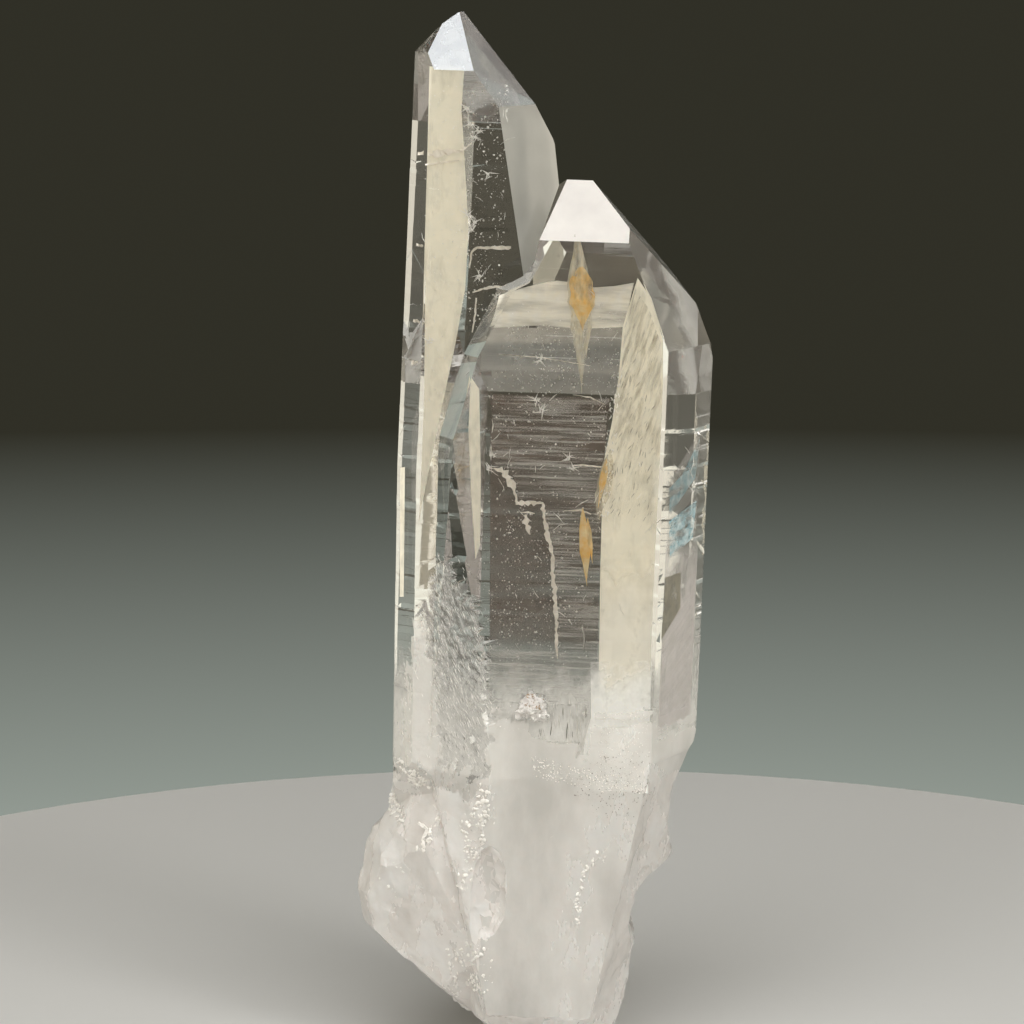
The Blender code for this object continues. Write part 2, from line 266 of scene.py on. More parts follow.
@dataclass(frozen=True)
class QuartzFinish:
    """One grade of quartz surface, from clear to milky.

    Transmission is the same all over a finish, and a finish with less of it looks milky or frosted.
    """

    name: str
    tint: Colour
    cloud_tint: Colour
    transmission: float
    roughness: tuple[float, float]
    cloud_size: float = 8.0
    cloud_cover: float = 0.5
    cloud_stretch: Point = (1.0, 1.0, 1.0)
    ledge_height: float = 0.0
    ledge_cover: float = 0.6
    lines_per_mm: float = 1.6
    grain_height: float = 0.0
    grain_size: float = 0.6
    scratch_height: float = 0.0
    glow: float = 0.0  # share of the milky part that light spreads through under the surface

    def build(self, effects: Effects) -> bpy.types.Material:
        """Builds the material.

        Args:
            effects: the shared node groups.

        Returns:
            The finished material.
        """
        material = bpy.data.materials.new(self.name)
        material.use_nodes = True
        graph = Graph(material.node_tree)
        shader = graph.tree.nodes["Principled BSDF"]
        shader.inputs["IOR"].default_value = QUARTZ_IOR
        shader.inputs["Transmission Weight"].default_value = self.transmission
        if self.glow:
            shader.inputs["Subsurface Weight"].default_value = self.glow
            shader.inputs["Subsurface Radius"].default_value = GLOW_RADIUS
            shader.inputs["Subsurface Scale"].default_value = GLOW_DEPTH
        place = stone_place(graph)
        clouds = graph.node(
            "ShaderNodeGroup",
            {"Place": graph.scaled(place, self.cloud_stretch), "Size mm": self.cloud_size,
             "Cover": self.cloud_cover},
            node_tree=effects.clouds,
        )
        mask = clouds.outputs["Mask"]
        colour = graph.blend(mask, (*self.tint, 1.0), (*self.cloud_tint, 1.0))
        graph.tree.links.new(colour, shader.inputs["Base Color"])
        low, high = self.roughness
        spread = graph.math("MULTIPLY", mask, high - low)
        graph.tree.links.new(graph.math("ADD", spread, low), shader.inputs["Roughness"])
        height = self.build_height(graph, effects, place)
        if height is not None:
            bump = graph.node("ShaderNodeBump", {"Strength": 1.0, "Distance": MM, "Height": height})
            graph.tree.links.new(bump.outputs[0], shader.inputs["Normal"])
        return material

    def build_height(self, graph: Graph, effects: Effects, place: Socket) -> Socket | None:
        """Adds up the finish's fine relief.

        Args:
            graph: the material's graph.
            effects: the shared node groups.
            place: the point in the stone's frame, in millimetres.

        Returns:
            The height in millimetres, or None where the finish has no relief.
        """
        parts: list[Socket] = []
        if self.ledge_height:
            lines = graph.node(
                "ShaderNodeGroup",
                {"Place": place, "Lines per mm": self.lines_per_mm, "Cover": self.ledge_cover},
                node_tree=effects.ledges,
            )
            parts.append(graph.math("MULTIPLY", lines.outputs[0], self.ledge_height))
        if self.grain_height:
            grain = graph.node(
                "ShaderNodeGroup", {"Place": place, "Size mm": self.grain_size}, node_tree=effects.grain
            )
            parts.append(graph.math("MULTIPLY", grain.outputs[0], self.grain_height))
        if self.scratch_height:
            thin = graph.scaled(place, (7.0, 1.0, 0.35))
            scratches = graph.node(
                "ShaderNodeTexNoise", {"Vector": thin, "Scale": 1.0, "Detail": 4.0, "Roughness": 0.7}
            )
            parts.append(graph.math("MULTIPLY", scratches.outputs[0], self.scratch_height))
        total = None
        for part in parts:
            total = part if total is None else graph.math("ADD", total, part)
        return total


def stone_place(graph: Graph) -> Socket:
    """Object coordinates turned upright and into millimetres.

    Args:
        graph: the material's graph.

    Returns:
        The socket of the point in the stone's own frame.
    """
    source = graph.node("ShaderNodeTexCoord")
    upright = graph.node(
        "ShaderNodeMapping",
        {"Vector": source.outputs["Object"], "Rotation": (0.0, -LEAN, 0.0), "Scale": (1 / MM,) * 3},
    )
    return upright.outputs[0]


class Grade(Enum):
    """The finishes that the stone's skin has, in the order of its material slots."""

    CLEAR = 0
    BRIGHT_TIP = 1
    HAZY_TIP = 2
    SATIN = 3
    MATTE_TIP = 4
    ETCHED = 5
    ETCHED_MILK = 6
    MILKY = 7
    BROKEN = 8


SKIN_FINISHES: dict[Grade, QuartzFinish] = {
    Grade.CLEAR: QuartzFinish(
        "quartz_clear", (0.985, 0.98, 0.97), (0.97, 0.965, 0.95), 1.0, (0.012, 0.035),
        ledge_height=0.010, lines_per_mm=1.3,
    ),
    # brushed tip face; its bluish tint is a painted reflection of cool light from above
    Grade.BRIGHT_TIP: QuartzFinish(
        "quartz_brushed_tip_painted_sheen", (0.80, 0.85, 0.92), (0.70, 0.75, 0.83), 0.30, (0.22, 0.34),
        cloud_size=2.0, scratch_height=0.03,
    ),
    Grade.HAZY_TIP: QuartzFinish(
        "quartz_hazy_tip", (0.86, 0.85, 0.88), (0.70, 0.69, 0.72), 0.80, (0.10, 0.25),
        cloud_size=2.5, grain_height=0.01, grain_size=0.5,
    ),
    Grade.SATIN: QuartzFinish(
        "quartz_satin_face", (0.62, 0.60, 0.56), (0.52, 0.505, 0.47), 0.42, (0.40, 0.46), cloud_size=14.0,
    ),
    Grade.MATTE_TIP: QuartzFinish(
        "quartz_matte_tip", (0.88, 0.85, 0.83), (0.80, 0.77, 0.76), 0.25, (0.42, 0.5),
        cloud_size=4.0, grain_height=0.006, grain_size=0.3,
    ),
    Grade.ETCHED: QuartzFinish(
        "quartz_etched_flank", (0.95, 0.94, 0.92), (0.80, 0.79, 0.78), 0.80, (0.04, 0.12),
        cloud_size=1.2, grain_height=0.03, grain_size=0.5,
    ),
    Grade.ETCHED_MILK: QuartzFinish(
        "quartz_etched_milk", (0.95, 0.93, 0.90), (0.86, 0.84, 0.81), 0.46, (0.16, 0.34),
        cloud_size=3.0, cloud_stretch=(1.0, 1.0, 0.3), grain_height=0.03, grain_size=0.5, glow=0.4,
    ),
    Grade.MILKY: QuartzFinish(
        "quartz_milky", (0.70, 0.685, 0.66), (0.99, 0.97, 0.94), 0.34, (0.16, 0.30),
        cloud_size=9.0, cloud_stretch=(1.0, 1.0, 0.45), grain_height=0.008, grain_size=0.7, glow=0.5,
    ),
    Grade.BROKEN: QuartzFinish(
        "quartz_broken", (0.80, 0.77, 0.745), (0.99, 0.96, 0.94), 0.22, (0.16, 0.36),
        cloud_size=6.0, cloud_stretch=(1.0, 1.0, 0.5), grain_height=0.03, grain_size=0.8, glow=0.5,
    ),
}


# The stone's skin


def inside(outline: Sequence[tuple[float, float]], across: object, up: object) -> object:
    """Tells whether a point, or each of many points, lies within an outline.

    Args:
        outline: its corners in order.
        across: the first coordinate, a number or an array.
        up: the second coordinate, a number or an array.

    Returns:
        True where it lies inside.
    """
    found = False
    ring = list(outline)
    for (x0, z0), (x1, z1) in zip(ring, ring[1:] + ring[:1]):
        if z0 == z1:
            continue
        crosses = (z0 > up) ^ (z1 > up)
        found = found ^ (crosses & (across < x0 + (x1 - x0) * (up - z0) / (z1 - z0)))
    return found


def ragged(place: Vector) -> tuple[float, float]:
    """A point's (x, z) shifted a little by chance, which turns an outline's edge ragged."""
    coarse, fine = noise.noise_vector(place * 0.6), noise.noise_vector(place * 2.3)
    shift = 1.5 * coarse + 0.5 * fine
    return place.x + shift.x, place.z + 2.0 * shift.z


def halve(bm: bmesh.types.BMesh, edges: Iterable[bmesh.types.BMEdge]) -> None:
    """Halves edges, and cuts the faces beside them into triangles."""
    bmesh.ops.subdivide_edges(bm, edges=list(edges), cuts=1, use_grid_fill=False)
    bmesh.ops.triangulate(bm, faces=[f for f in bm.faces if len(f.verts) > 3])


def slice_at(bm: bmesh.types.BMesh, at: Sequence[float], normal: Sequence[float]) -> None:
    """Cuts every face that crosses a plane in two there."""
    whole = bm.verts[:] + bm.edges[:] + bm.faces[:]
    bmesh.ops.bisect_plane(bm, geom=whole, dist=CLEAN_CUT, plane_co=at, plane_no=normal)


# Where the skin is etched, as (x, z) seen from the front
ETCHED_FLANK = (
    (-20.0, 79.3), (-21.1, 75.9), (-23.0, 69.0), (-20.4, 62.0), (-19.4, 55.0), (-18.6, 47.0), (-12.1, 46.2),
    (-11.6, 51.4), (-12.0, 59.2), (-13.2, 67.0), (-14.0, 71.8), (-17.3, 76.4),
)
ETCHED_MILK_ZONE = (
    (-23.0, 69.0), (-24.3, 59.7), (-25.4, 50.0), (-24.4, 44.3), (-14.0, 43.0), (-12.1, 46.2), (-18.6, 47.0),
    (-19.4, 55.0), (-20.4, 62.0),
)

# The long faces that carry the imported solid's coarse ledges: azimuth, slope and one point of each
LEDGED_FACES = (
    (0.0, 0.0, (0.0, BROAD_FRONT, 0.0)), (60.0, 0.0, (12.9, BROAD_FRONT, 0.0)),
    (124.5, 0.0, (20.2, -8.0, 0.0)), (180.0, 0.0, (0.0, 12.8, 0.0)), (240.0, 0.0, (-13.7, 12.8, 0.0)),
    (0.0, 0.0, (0.0, TALL_FRONT, 0.0)), (180.0, 0.0, (0.0, 4.0, 0.0)),
    (240.0, 0.65, (-26.8, -11.8, 92.0)), (300.0, 0.65, (-23.9, TALL_FRONT, 92.0)),
    (240.0, -0.7, (-26.8, -11.8, 92.0)), (300.0, -0.7, (-23.9, TALL_FRONT, 92.0)),
)


def facing(azimuth: float, slope: float) -> Vector:
    """The direction of an azimuth, 0 at the front and turning to +X, raised by a slope in degrees."""
    turn, rise = math.radians(azimuth), math.radians(slope)
    return Vector((math.sin(turn) * math.cos(rise), -math.cos(turn) * math.cos(rise), math.sin(rise)))


@dataclass(frozen=True)
class Zone:
    """A crystal face that has a finish of its own."""

    grade: Grade
    azimuth: float
    slope: float
    low: Point
    high: Point
    spread: float = 5.0

    def holds(self, centre: Vector, normal: Vector) -> bool:
        """Tells whether a bit of skin belongs to the face.

        Args:
            centre: its middle.
            normal: its outward direction.

        Returns:
            True if it turns the face's way and lies in the face's box.
        """
        if facing(self.azimuth, self.slope).dot(normal) < math.cos(math.radians(self.spread)):
            return False
        return all(a <= c <= b for a, c, b in zip(self.low, centre, self.high))


@dataclass
class StoneSkin:
    """The stone's whole outer surface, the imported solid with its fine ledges, ripples and grain."""

    name: str = "quartz_skin"
    milk_top: float = 53.5  # height up to which the stone is milky
    milk_waver: float = 4.0
    milk_reach: float = 64.0  # height that no milk reaches
    left_milk_drop: float = 8.0  # how much lower the milk ends on the tall crystal
    broken_top: float = 46.0  # height up to which the milky sides and back are broken
    front_milk: tuple[Sequence[float], Sequence[float]] = (  # the same height by x on the front face
        (-13.0, -6.0, -4.8, 3.0, 4.4, 13.0), (55.5, 55.0, 52.0, 51.0, 56.0, 57.0)
    )
    ledge_low: float = 50.5
    ledge_high: float = 146.0
    ledge_pitch: float = 1.0
    riser: float = 0.09
    ledge_depth: float = 0.034
    ledge_ease: float = 0.92
    side_ease: float = 0.99
    side_ledges: float = 0.16  # share of that on the faces that turn away from the front and the back
    column_pitch: float = 2.2
    root_edge: float = 0.95
    root_relief: float = 0.34
    root_grain: float = 0.10
    root_top: float = 47.0  # height up to which the root has its relief
    root_fade: float = 12.0  # how far below that it is whole
    facet_count: int = 300
    facet_tilt: float = 0.5
    facet_box: Sequence[tuple[float, float]] = ((-32, 36), (-22, 14), (0, 25))
    front_share: float = 0.06  # how much of the relief the broad front face keeps
    etched_edge: float = 0.42
    etched_depth: float = 0.30
    etched_slants: tuple[float, float] = (0.15, 0.42)  # how the ripples lean below and above the bend
    etched_bend: float = 56.0
    ripple_pitch: Point = (1.15, 0.5, 0.34)  # waves for a millimetre across, into and along the flank
    pit_pitch: Point = (1.9, 1.2, 1.1)
    pit_depth: float = 0.10
    edge_wear: float = 0.13
    worn_angle: float = 18.0  # degrees from which an edge is worn
    sharp_angle: float = 28.0  # degrees from which an edge of a smooth finish stays sharp
    coarse_step: float = 0.32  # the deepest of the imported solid's own ledges
    knob_low: float = 52.0
    knob_high: float = 62.0
    knob_edge: float = 0.4
    knob_relief: float = 0.75
    zones: Sequence[Zone] = (
        Zone(Grade.BRIGHT_TIP, 0, 38.2, (-30, -20, 150), (-10, -5, 163)),
        Zone(Grade.HAZY_TIP, 60, 33.0, (-25, -20, 140), (0, 5, 163)),
        Zone(Grade.SATIN, 60, 9.0, (-14, -19, 104), (0, 0, 150)),
        Zone(Grade.MATTE_TIP, 0, 38.2, (-10, -23, 125), (14, -10, 139)),
    )

    def build(self, effects: Effects) -> bpy.types.Object:
        """Builds and dresses the skin.

        Args:
            effects: the shared node groups.

        Returns:
            The finished object.
        """
        bm = self.copy_of_solid()
        self.ease_ledges(bm)
        self.wear_edges(bm)
        levels = self.cut_columns_and_levels(bm)
        self.refine_root(bm)
        self.refine_etched(bm)
        self.crumble_knob(bm)
        self.drop_doubled(bm)
        self.press_ledges(bm, levels)
        self.roughen(bm)
        self.etch(bm)
        self.assign_grades(bm)
        bmesh.ops.transform(bm, matrix=TO_WORLD, verts=bm.verts)
        mesh = bpy.data.meshes.new(self.name)
        bm.to_mesh(mesh)
        bm.free()
        for grade in Grade:
            mesh.materials.append(SKIN_FINISHES[grade].build(effects))
        skin = bpy.data.objects.new(self.name, mesh)
        bpy.context.collection.objects.link(skin)
        return skin

    @staticmethod
    def copy_of_solid() -> bmesh.types.BMesh:
        """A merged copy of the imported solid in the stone's frame, its flat faces whole again."""
        source = bpy.data.objects[STONE_NODE]
        bm = bmesh.new()
        bm.from_mesh(source.data)
        bmesh.ops.transform(bm, matrix=TO_STONE @ source.matrix_world, verts=bm.verts)
        bmesh.ops.remove_doubles(bm, verts=bm.verts, dist=0.003)
        bmesh.ops.dissolve_limit(bm, angle_limit=math.radians(0.4), verts=bm.verts, edges=bm.edges)
        return bm

    def ease_ledges(self, bm: bmesh.types.BMesh) -> None:
        """Draws the solid's coarse ledges back towards their faces, so that they glint less."""
        groups: dict[float, list[tuple[Vector, float]]] = {}
        for azimuth, slope, point in LEDGED_FACES:
            outward = facing(azimuth, slope)
            groups.setdefault(azimuth, []).append((outward, outward.dot(Vector(point))))
        bm.normal_update()
        for vert in bm.verts:
            if vert.co.z < self.ledge_low:
                continue
            for azimuth, planes in groups.items():
                level = facing(azimuth, 0.0)
                if not any(
                    math.hypot(face.normal.x, face.normal.y) > 0.7
                    and level.dot(face.normal) > 0.998 * math.hypot(face.normal.x, face.normal.y)
                    for face in vert.link_faces
                ):
                    continue
                gap, outward = min(
                    ((distance - outward.dot(vert.co), outward) for outward, distance in planes),
                    key=lambda pair: abs(pair[0]),
                )
                if 0.0 < gap < self.coarse_step:
                    ease = self.ledge_ease if azimuth in (0.0, 180.0) else self.side_ease
                    vert.co += outward * gap * ease

    def wear_edges(self, bm: bmesh.types.BMesh) -> None:
        """Wears the crystals' sharp edges down to narrow chamfers."""
        worn = [
            edge for edge in bm.edges
            if len(edge.link_faces) == 2
            and edge.calc_face_angle() > math.radians(self.worn_angle)
            and min(v.co.z for v in edge.verts) > self.ledge_low
            and edge.calc_length() > 3.0
            and edge.is_convex
        ]
        bmesh.ops.bevel(
            bm, geom=worn, offset=self.edge_wear, segments=1, affect="EDGES", clamp_overlap=True,
            loop_slide=True,
        )

    def cut_columns_and_levels(self, bm: bmesh.types.BMesh) -> list[float]:
        """Cuts the long faces into columns, and into two levels for each ledge.

        Args:
            bm: the skin.

        Returns:
            The height of each ledge's foot.
        """
        rng = random.Random(7)
        levels: list[float] = []
        z = self.ledge_low
        while z < self.ledge_high:
            z += self.ledge_pitch * rng.uniform(0.35, 1.7)
            levels.append(z)
        cuts = [((0, 0, z), (0, 0, 1)) for z in levels]
        cuts += [((0, 0, z + self.riser), (0, 0, 1)) for z in levels]
        for step in range(-16, 12):
            cuts.append(((step * self.column_pitch + 0.31, 0, 0), (1, 0, 0)))
            cuts.append(((0, step * self.column_pitch + 0.17, 0), (0, 1, 0)))
        for at, normal in cuts:
            slice_at(bm, at, normal)
        return levels

    def refine_root(self, bm: bmesh.types.BMesh) -> None:
        """Splits the root's long edges until its grain has points to move."""
        bmesh.ops.triangulate(bm, faces=bm.faces)
        bmesh.ops.dissolve_degenerate(bm, dist=0.004, edges=bm.edges)
        bmesh.ops.triangulate(bm, faces=bm.faces)
        for _ in range(4):
            long_edges = [
                edge for edge in bm.edges
                if edge.calc_length() > self.root_edge
                and min(v.co.z for v in edge.verts) < self.milk_reach
            ]
            if not long_edges:
                break
            halve(bm, long_edges)

    @staticmethod
    def is_etched(centre: Vector, normal: Vector) -> bool:
        """Tells whether a bit of skin lies on the etched flank."""
        return normal.y < FRONTWARD and inside(ETCHED_FLANK, *ragged(centre))

    def refine_etched(self, bm: bmesh.types.BMesh) -> None:
        """Splits the etched flank finely."""
        for _ in range(6):
            bm.normal_update()
            edges = dict.fromkeys(
                edge for face in bm.faces if self.is_etched(face.calc_center_median(), face.normal)
                for edge in face.edges if edge.calc_length() > self.etched_edge
            )
            if not edges:
                break
            halve(bm, edges)

    @staticmethod
    def drop_doubled(bm: bmesh.types.BMesh) -> None:
        """Takes out the slivers that lie back to back on the same three points."""
        bm.normal_update()
        shared: dict[frozenset[bmesh.types.BMVert], list[bmesh.types.BMFace]] = {}
        for face in bm.faces:
            shared.setdefault(frozenset(face.verts), []).append(face)
        doubled = []
        for faces in shared.values():
            if len(faces) > 1:
                doubled += faces if len(faces) % 2 == 0 else faces[1:]
        bmesh.ops.delete(bm, geom=doubled, context="FACES")

    def knob_points(self, bm: bmesh.types.BMesh) -> list[bmesh.types.BMVert]:
        """The points of the knob that stand out from the broad front face."""
        return [
            vert for vert in bm.verts
            if vert.co.y < BROAD_FRONT - 0.04 and self.knob_low < vert.co.z < self.knob_high
        ]

    def crumble_knob(self, bm: bmesh.types.BMesh) -> None:
        """Breaks the small knob on the broad front face into crumbs."""
        for _ in range(4):
            edges = dict.fromkeys(
                edge for vert in self.knob_points(bm) for edge in vert.link_edges
                if edge.calc_length() > self.knob_edge
            )
            if not edges:
                break
            halve(bm, edges)
        bm.normal_update()
        for vert in self.knob_points(bm):
            vert.co += self.knob_relief * noise.noise_vector(vert.co * 0.9)
            vert.co += 0.4 * self.knob_relief * noise.noise_vector(vert.co * 2.6)

    def etch(self, bm: bmesh.types.BMesh) -> None:
        """Eats slanting ripples and pits into the etched flank."""
        lower, upper = self.etched_slants
        (rx, ry, rz), (px, py, pz) = self.ripple_pitch, self.pit_pitch
        bm.normal_update()
        moves = []
        for vert in bm.verts:
            if not self.is_etched(vert.co, vert.normal):
                continue
            x, y, z = vert.co
            slant = upper if z > self.etched_bend else lower
            across = x * 0.9 + z * slant
            along = z * 0.9 - x * slant
            ripple = abs(noise.noise(Vector((across * rx, y * ry, along * rz))))
            pit = noise.noise(Vector((across * px, y * py, along * pz)) + Vector((7, 3, 1)))
            depth = self.etched_depth * (1.0 - 1.6 * ripple) * 0.7 + self.pit_depth * pit
            moves.append((vert, vert.normal * (-max(0.0, depth))))
        for vert, move in moves:
            vert.co += move

    def press_ledges(self, bm: bmesh.types.BMesh, levels: Sequence[float]) -> None:
        """Lets each long face drift inwards and step back out at every level.

        Args:
            bm: the skin.
            levels: the height of each ledge's foot.
        """
        rng = random.Random(19)
        knots: dict[int, list[float]] = {}
        for azimuth in range(0, 360, 60):
            depths: list[float] = []
            strength = self.ledge_depth * (1.0 if azimuth in (0, 180) else self.side_ledges)
            for _ in levels:
                depths.append(strength * rng.random() ** 2.2)
                depths.append(0.0)
            knots[azimuth] = depths
        heights: list[float] = []
        for z in levels:
            heights += [z, z + self.riser]
        bm.normal_update()
        moves: list[tuple[bmesh.types.BMVert, Vector]] = []
        for vert in bm.verts:
            if not self.ledge_low < vert.co.z < self.ledge_high:
                continue
            push = Vector()
            for face in vert.link_faces:
                normal = face.normal
                if abs(normal.z) > 0.12:
                    continue
                azimuth = int(round(math.degrees(math.atan2(normal.x, -normal.y)) / 60) * 60) % 360
                depth = np.interp(vert.co.z, heights, knots[azimuth])
                push -= normal * (depth / len(vert.link_faces))
            fade = 0.5 + 1.1 * noise.noise(Vector((vert.co.x * 0.12, vert.co.y * 0.12, vert.co.z * 0.5)))
            moves.append((vert, push * max(0.0, min(1.0, fade))))
        for vert, move in moves:
            vert.co += move

    def roughen(self, bm: bmesh.types.BMesh) -> None:
        """Breaks the root's surface into small tilted facets with a little grain on them."""
        rng = random.Random(43)
        hearts = KDTree(self.facet_count)
        tilts: list[Vector] = []
        for i in range(self.facet_count):
            heart = [rng.uniform(*span) for span in self.facet_box]
            hearts.insert(heart, i)
            tilts.append(Vector([rng.uniform(-1, 1) for _ in range(3)]) * self.facet_tilt)
        hearts.balance()
        bm.normal_update()
        moves = []
        for vert in bm.verts:
            x, y, z = vert.co
            fade = min(1.0, max(0.0, (z - 1.0) / 3.0))  # the foot stays flat
            fade *= min(1.0, max(0.0, (self.root_top - z) / self.root_fade))
            if fade == 0.0:
                continue
            if vert.co.y < BROAD_FRONT + 0.3:
                fade *= self.front_share
            bent = vert.co + 1.5 * noise.noise_vector(vert.co * 0.2)
            bent = Vector((bent.x + 0.35 * bent.z, bent.y, bent.z * 0.5))
            heart, number, _ = hearts.find(bent)
            facet = max(-1.0, min(1.0, tilts[number].dot(bent - heart)))
            wave = noise.fractal(Vector((x * 0.9 + z * 0.4, y, z * 0.25)) * 0.6, 0.8, 2.0, 3)
            depth = self.root_relief * (0.55 + 0.45 * facet) - self.root_grain * wave
            moves.append((vert, vert.normal * (-fade * max(0.0, depth))))
        for vert, move in moves:
            vert.co += move

    def milk_line(self, centre: Vector) -> float:
        """Height up to which the stone is milky at a place on its skin."""
        waver = noise.fractal(Vector((centre.x * 0.16, centre.y * 0.16, centre.z * 0.7)), 0.8, 2.2, 3)
        top = self.milk_top - (self.left_milk_drop if centre.x < -15.0 else 0.0)
        if centre.y < BROAD_FRONT + 1.0:
            top = float(np.interp(centre.x, *self.front_milk))
        return top + self.milk_waver * waver

    def grade_of(self, face: bmesh.types.BMFace) -> Grade:
        """The grade of one bit of the skin."""
        centre = face.calc_center_median()
        for zone in self.zones:
            if zone.holds(centre, face.normal):
                return zone.grade
        if centre.y < BROAD_FRONT - 0.3 and self.knob_low < centre.z < self.knob_high:
            return Grade.MATTE_TIP
        if face.normal.y < FRONTWARD and inside(ETCHED_MILK_ZONE, *ragged(centre)):
            return Grade.ETCHED_MILK
        if self.is_etched(centre, face.normal):
            return Grade.ETCHED
        if centre.z < self.milk_line(centre):
            front = face.normal.y < -0.97 and centre.x > -12.0
            return Grade.MILKY if front or centre.z > self.broken_top else Grade.BROKEN
        return Grade.CLEAR

    def assign_grades(self, bm: bmesh.types.BMesh) -> None:
        """Gives every face its grade, and smooths the rough ones."""
        bm.normal_update()
        for face in bm.faces:
            grade = self.grade_of(face)
            face.material_index = grade.value
            face.smooth = grade in (Grade.MILKY, Grade.BROKEN, Grade.ETCHED_MILK, Grade.ETCHED)
        sharp = math.radians(self.sharp_angle)
        for edge in bm.edges:
            etched = all(face.material_index == Grade.ETCHED.value for face in edge.link_faces)
            edge.smooth = len(edge.link_faces) == 2 and (etched or edge.calc_face_angle() < sharp)


# What lies inside the stone


@dataclass(frozen=True)
class InclusionFinish:
    """Something pale, golden or dark inside the stone, with see-through gaps; some are painted reflections,
    painted shade and painted glow.
    """

    name: str
    tint: Colour
    second_tint: Colour
    roughness: float = 0.5
    patch_size: float = 2.0
    patch_stretch: Point = (1.0, 1.0, 1.0)
    patch_turn: float = 0.0  # degrees that the stretched pattern leans to the right
    cover: tuple[float, float] | None = None  # where the patches start to show and are solid
    opacity: float = 1.0  # how solid its most solid parts are
    fade: tuple[float, float] | None = None  # heights at which it is gone and where it is whole
    fade_waver: float = 12.0  # how far its patches shift those heights
    painted_glow: float = 0.0  # painted glow: emission that stands in for light the stone mirrors onto it

    def build(self, effects: Effects) -> bpy.types.Material:
        """Builds the material.

        Args:
            effects: the shared node groups.

        Returns:
            The finished material.
        """
        material = bpy.data.materials.new(self.name)
        material.use_nodes = True
        graph = Graph(material.node_tree)
        shader = graph.tree.nodes["Principled BSDF"]
        shader.inputs["IOR"].default_value = QUARTZ_IOR
        place = stone_place(graph)
        clouds = graph.node(
            "ShaderNodeGroup", {"Place": place, "Size mm": self.patch_size}, node_tree=effects.clouds
        )
        colour = graph.blend(clouds.outputs["Mask"], (*self.tint, 1.0), (*self.second_tint, 1.0))
        graph.tree.links.new(colour, shader.inputs["Base Color"])
        # painted glow: the colour is given off as emission, though the sheet is no lamp
        if self.painted_glow:
            graph.tree.links.new(colour, shader.inputs["Emission Color"])
            shader.inputs["Emission Strength"].default_value = self.painted_glow
        shade = graph.math("MULTIPLY", clouds.outputs["Mask"], 0.2)
        graph.tree.links.new(graph.math("ADD", shade, self.roughness), shader.inputs["Roughness"])
        if self.cover:
            stretched = graph.node(
                "ShaderNodeMapping",
                {"Vector": place, "Rotation": (0.0, math.radians(self.patch_turn), 0.0),
                 "Scale": self.patch_stretch},
                vector_type="TEXTURE",
            )
            gaps = graph.node("ShaderNodeTexNoise", {"Vector": stretched.outputs[0], "Detail": 4.0,
                                                     "Scale": 1.0 / self.patch_size})
            solid = graph.math("MULTIPLY", graph.ramp(gaps.outputs[0], *self.cover), self.opacity)
            if self.fade:
                height = graph.node("ShaderNodeSeparateXYZ", {0: place}).outputs[2]
                uneven = graph.math("SUBTRACT", 0.5, gaps.outputs[0])
                shift = graph.math("MULTIPLY", uneven, self.fade_waver)
                faded = graph.ramp(graph.math("ADD", height, shift), *self.fade)
                solid = graph.math("MULTIPLY", solid, faded)
            graph.tree.links.new(solid, shader.inputs["Alpha"])
        return material


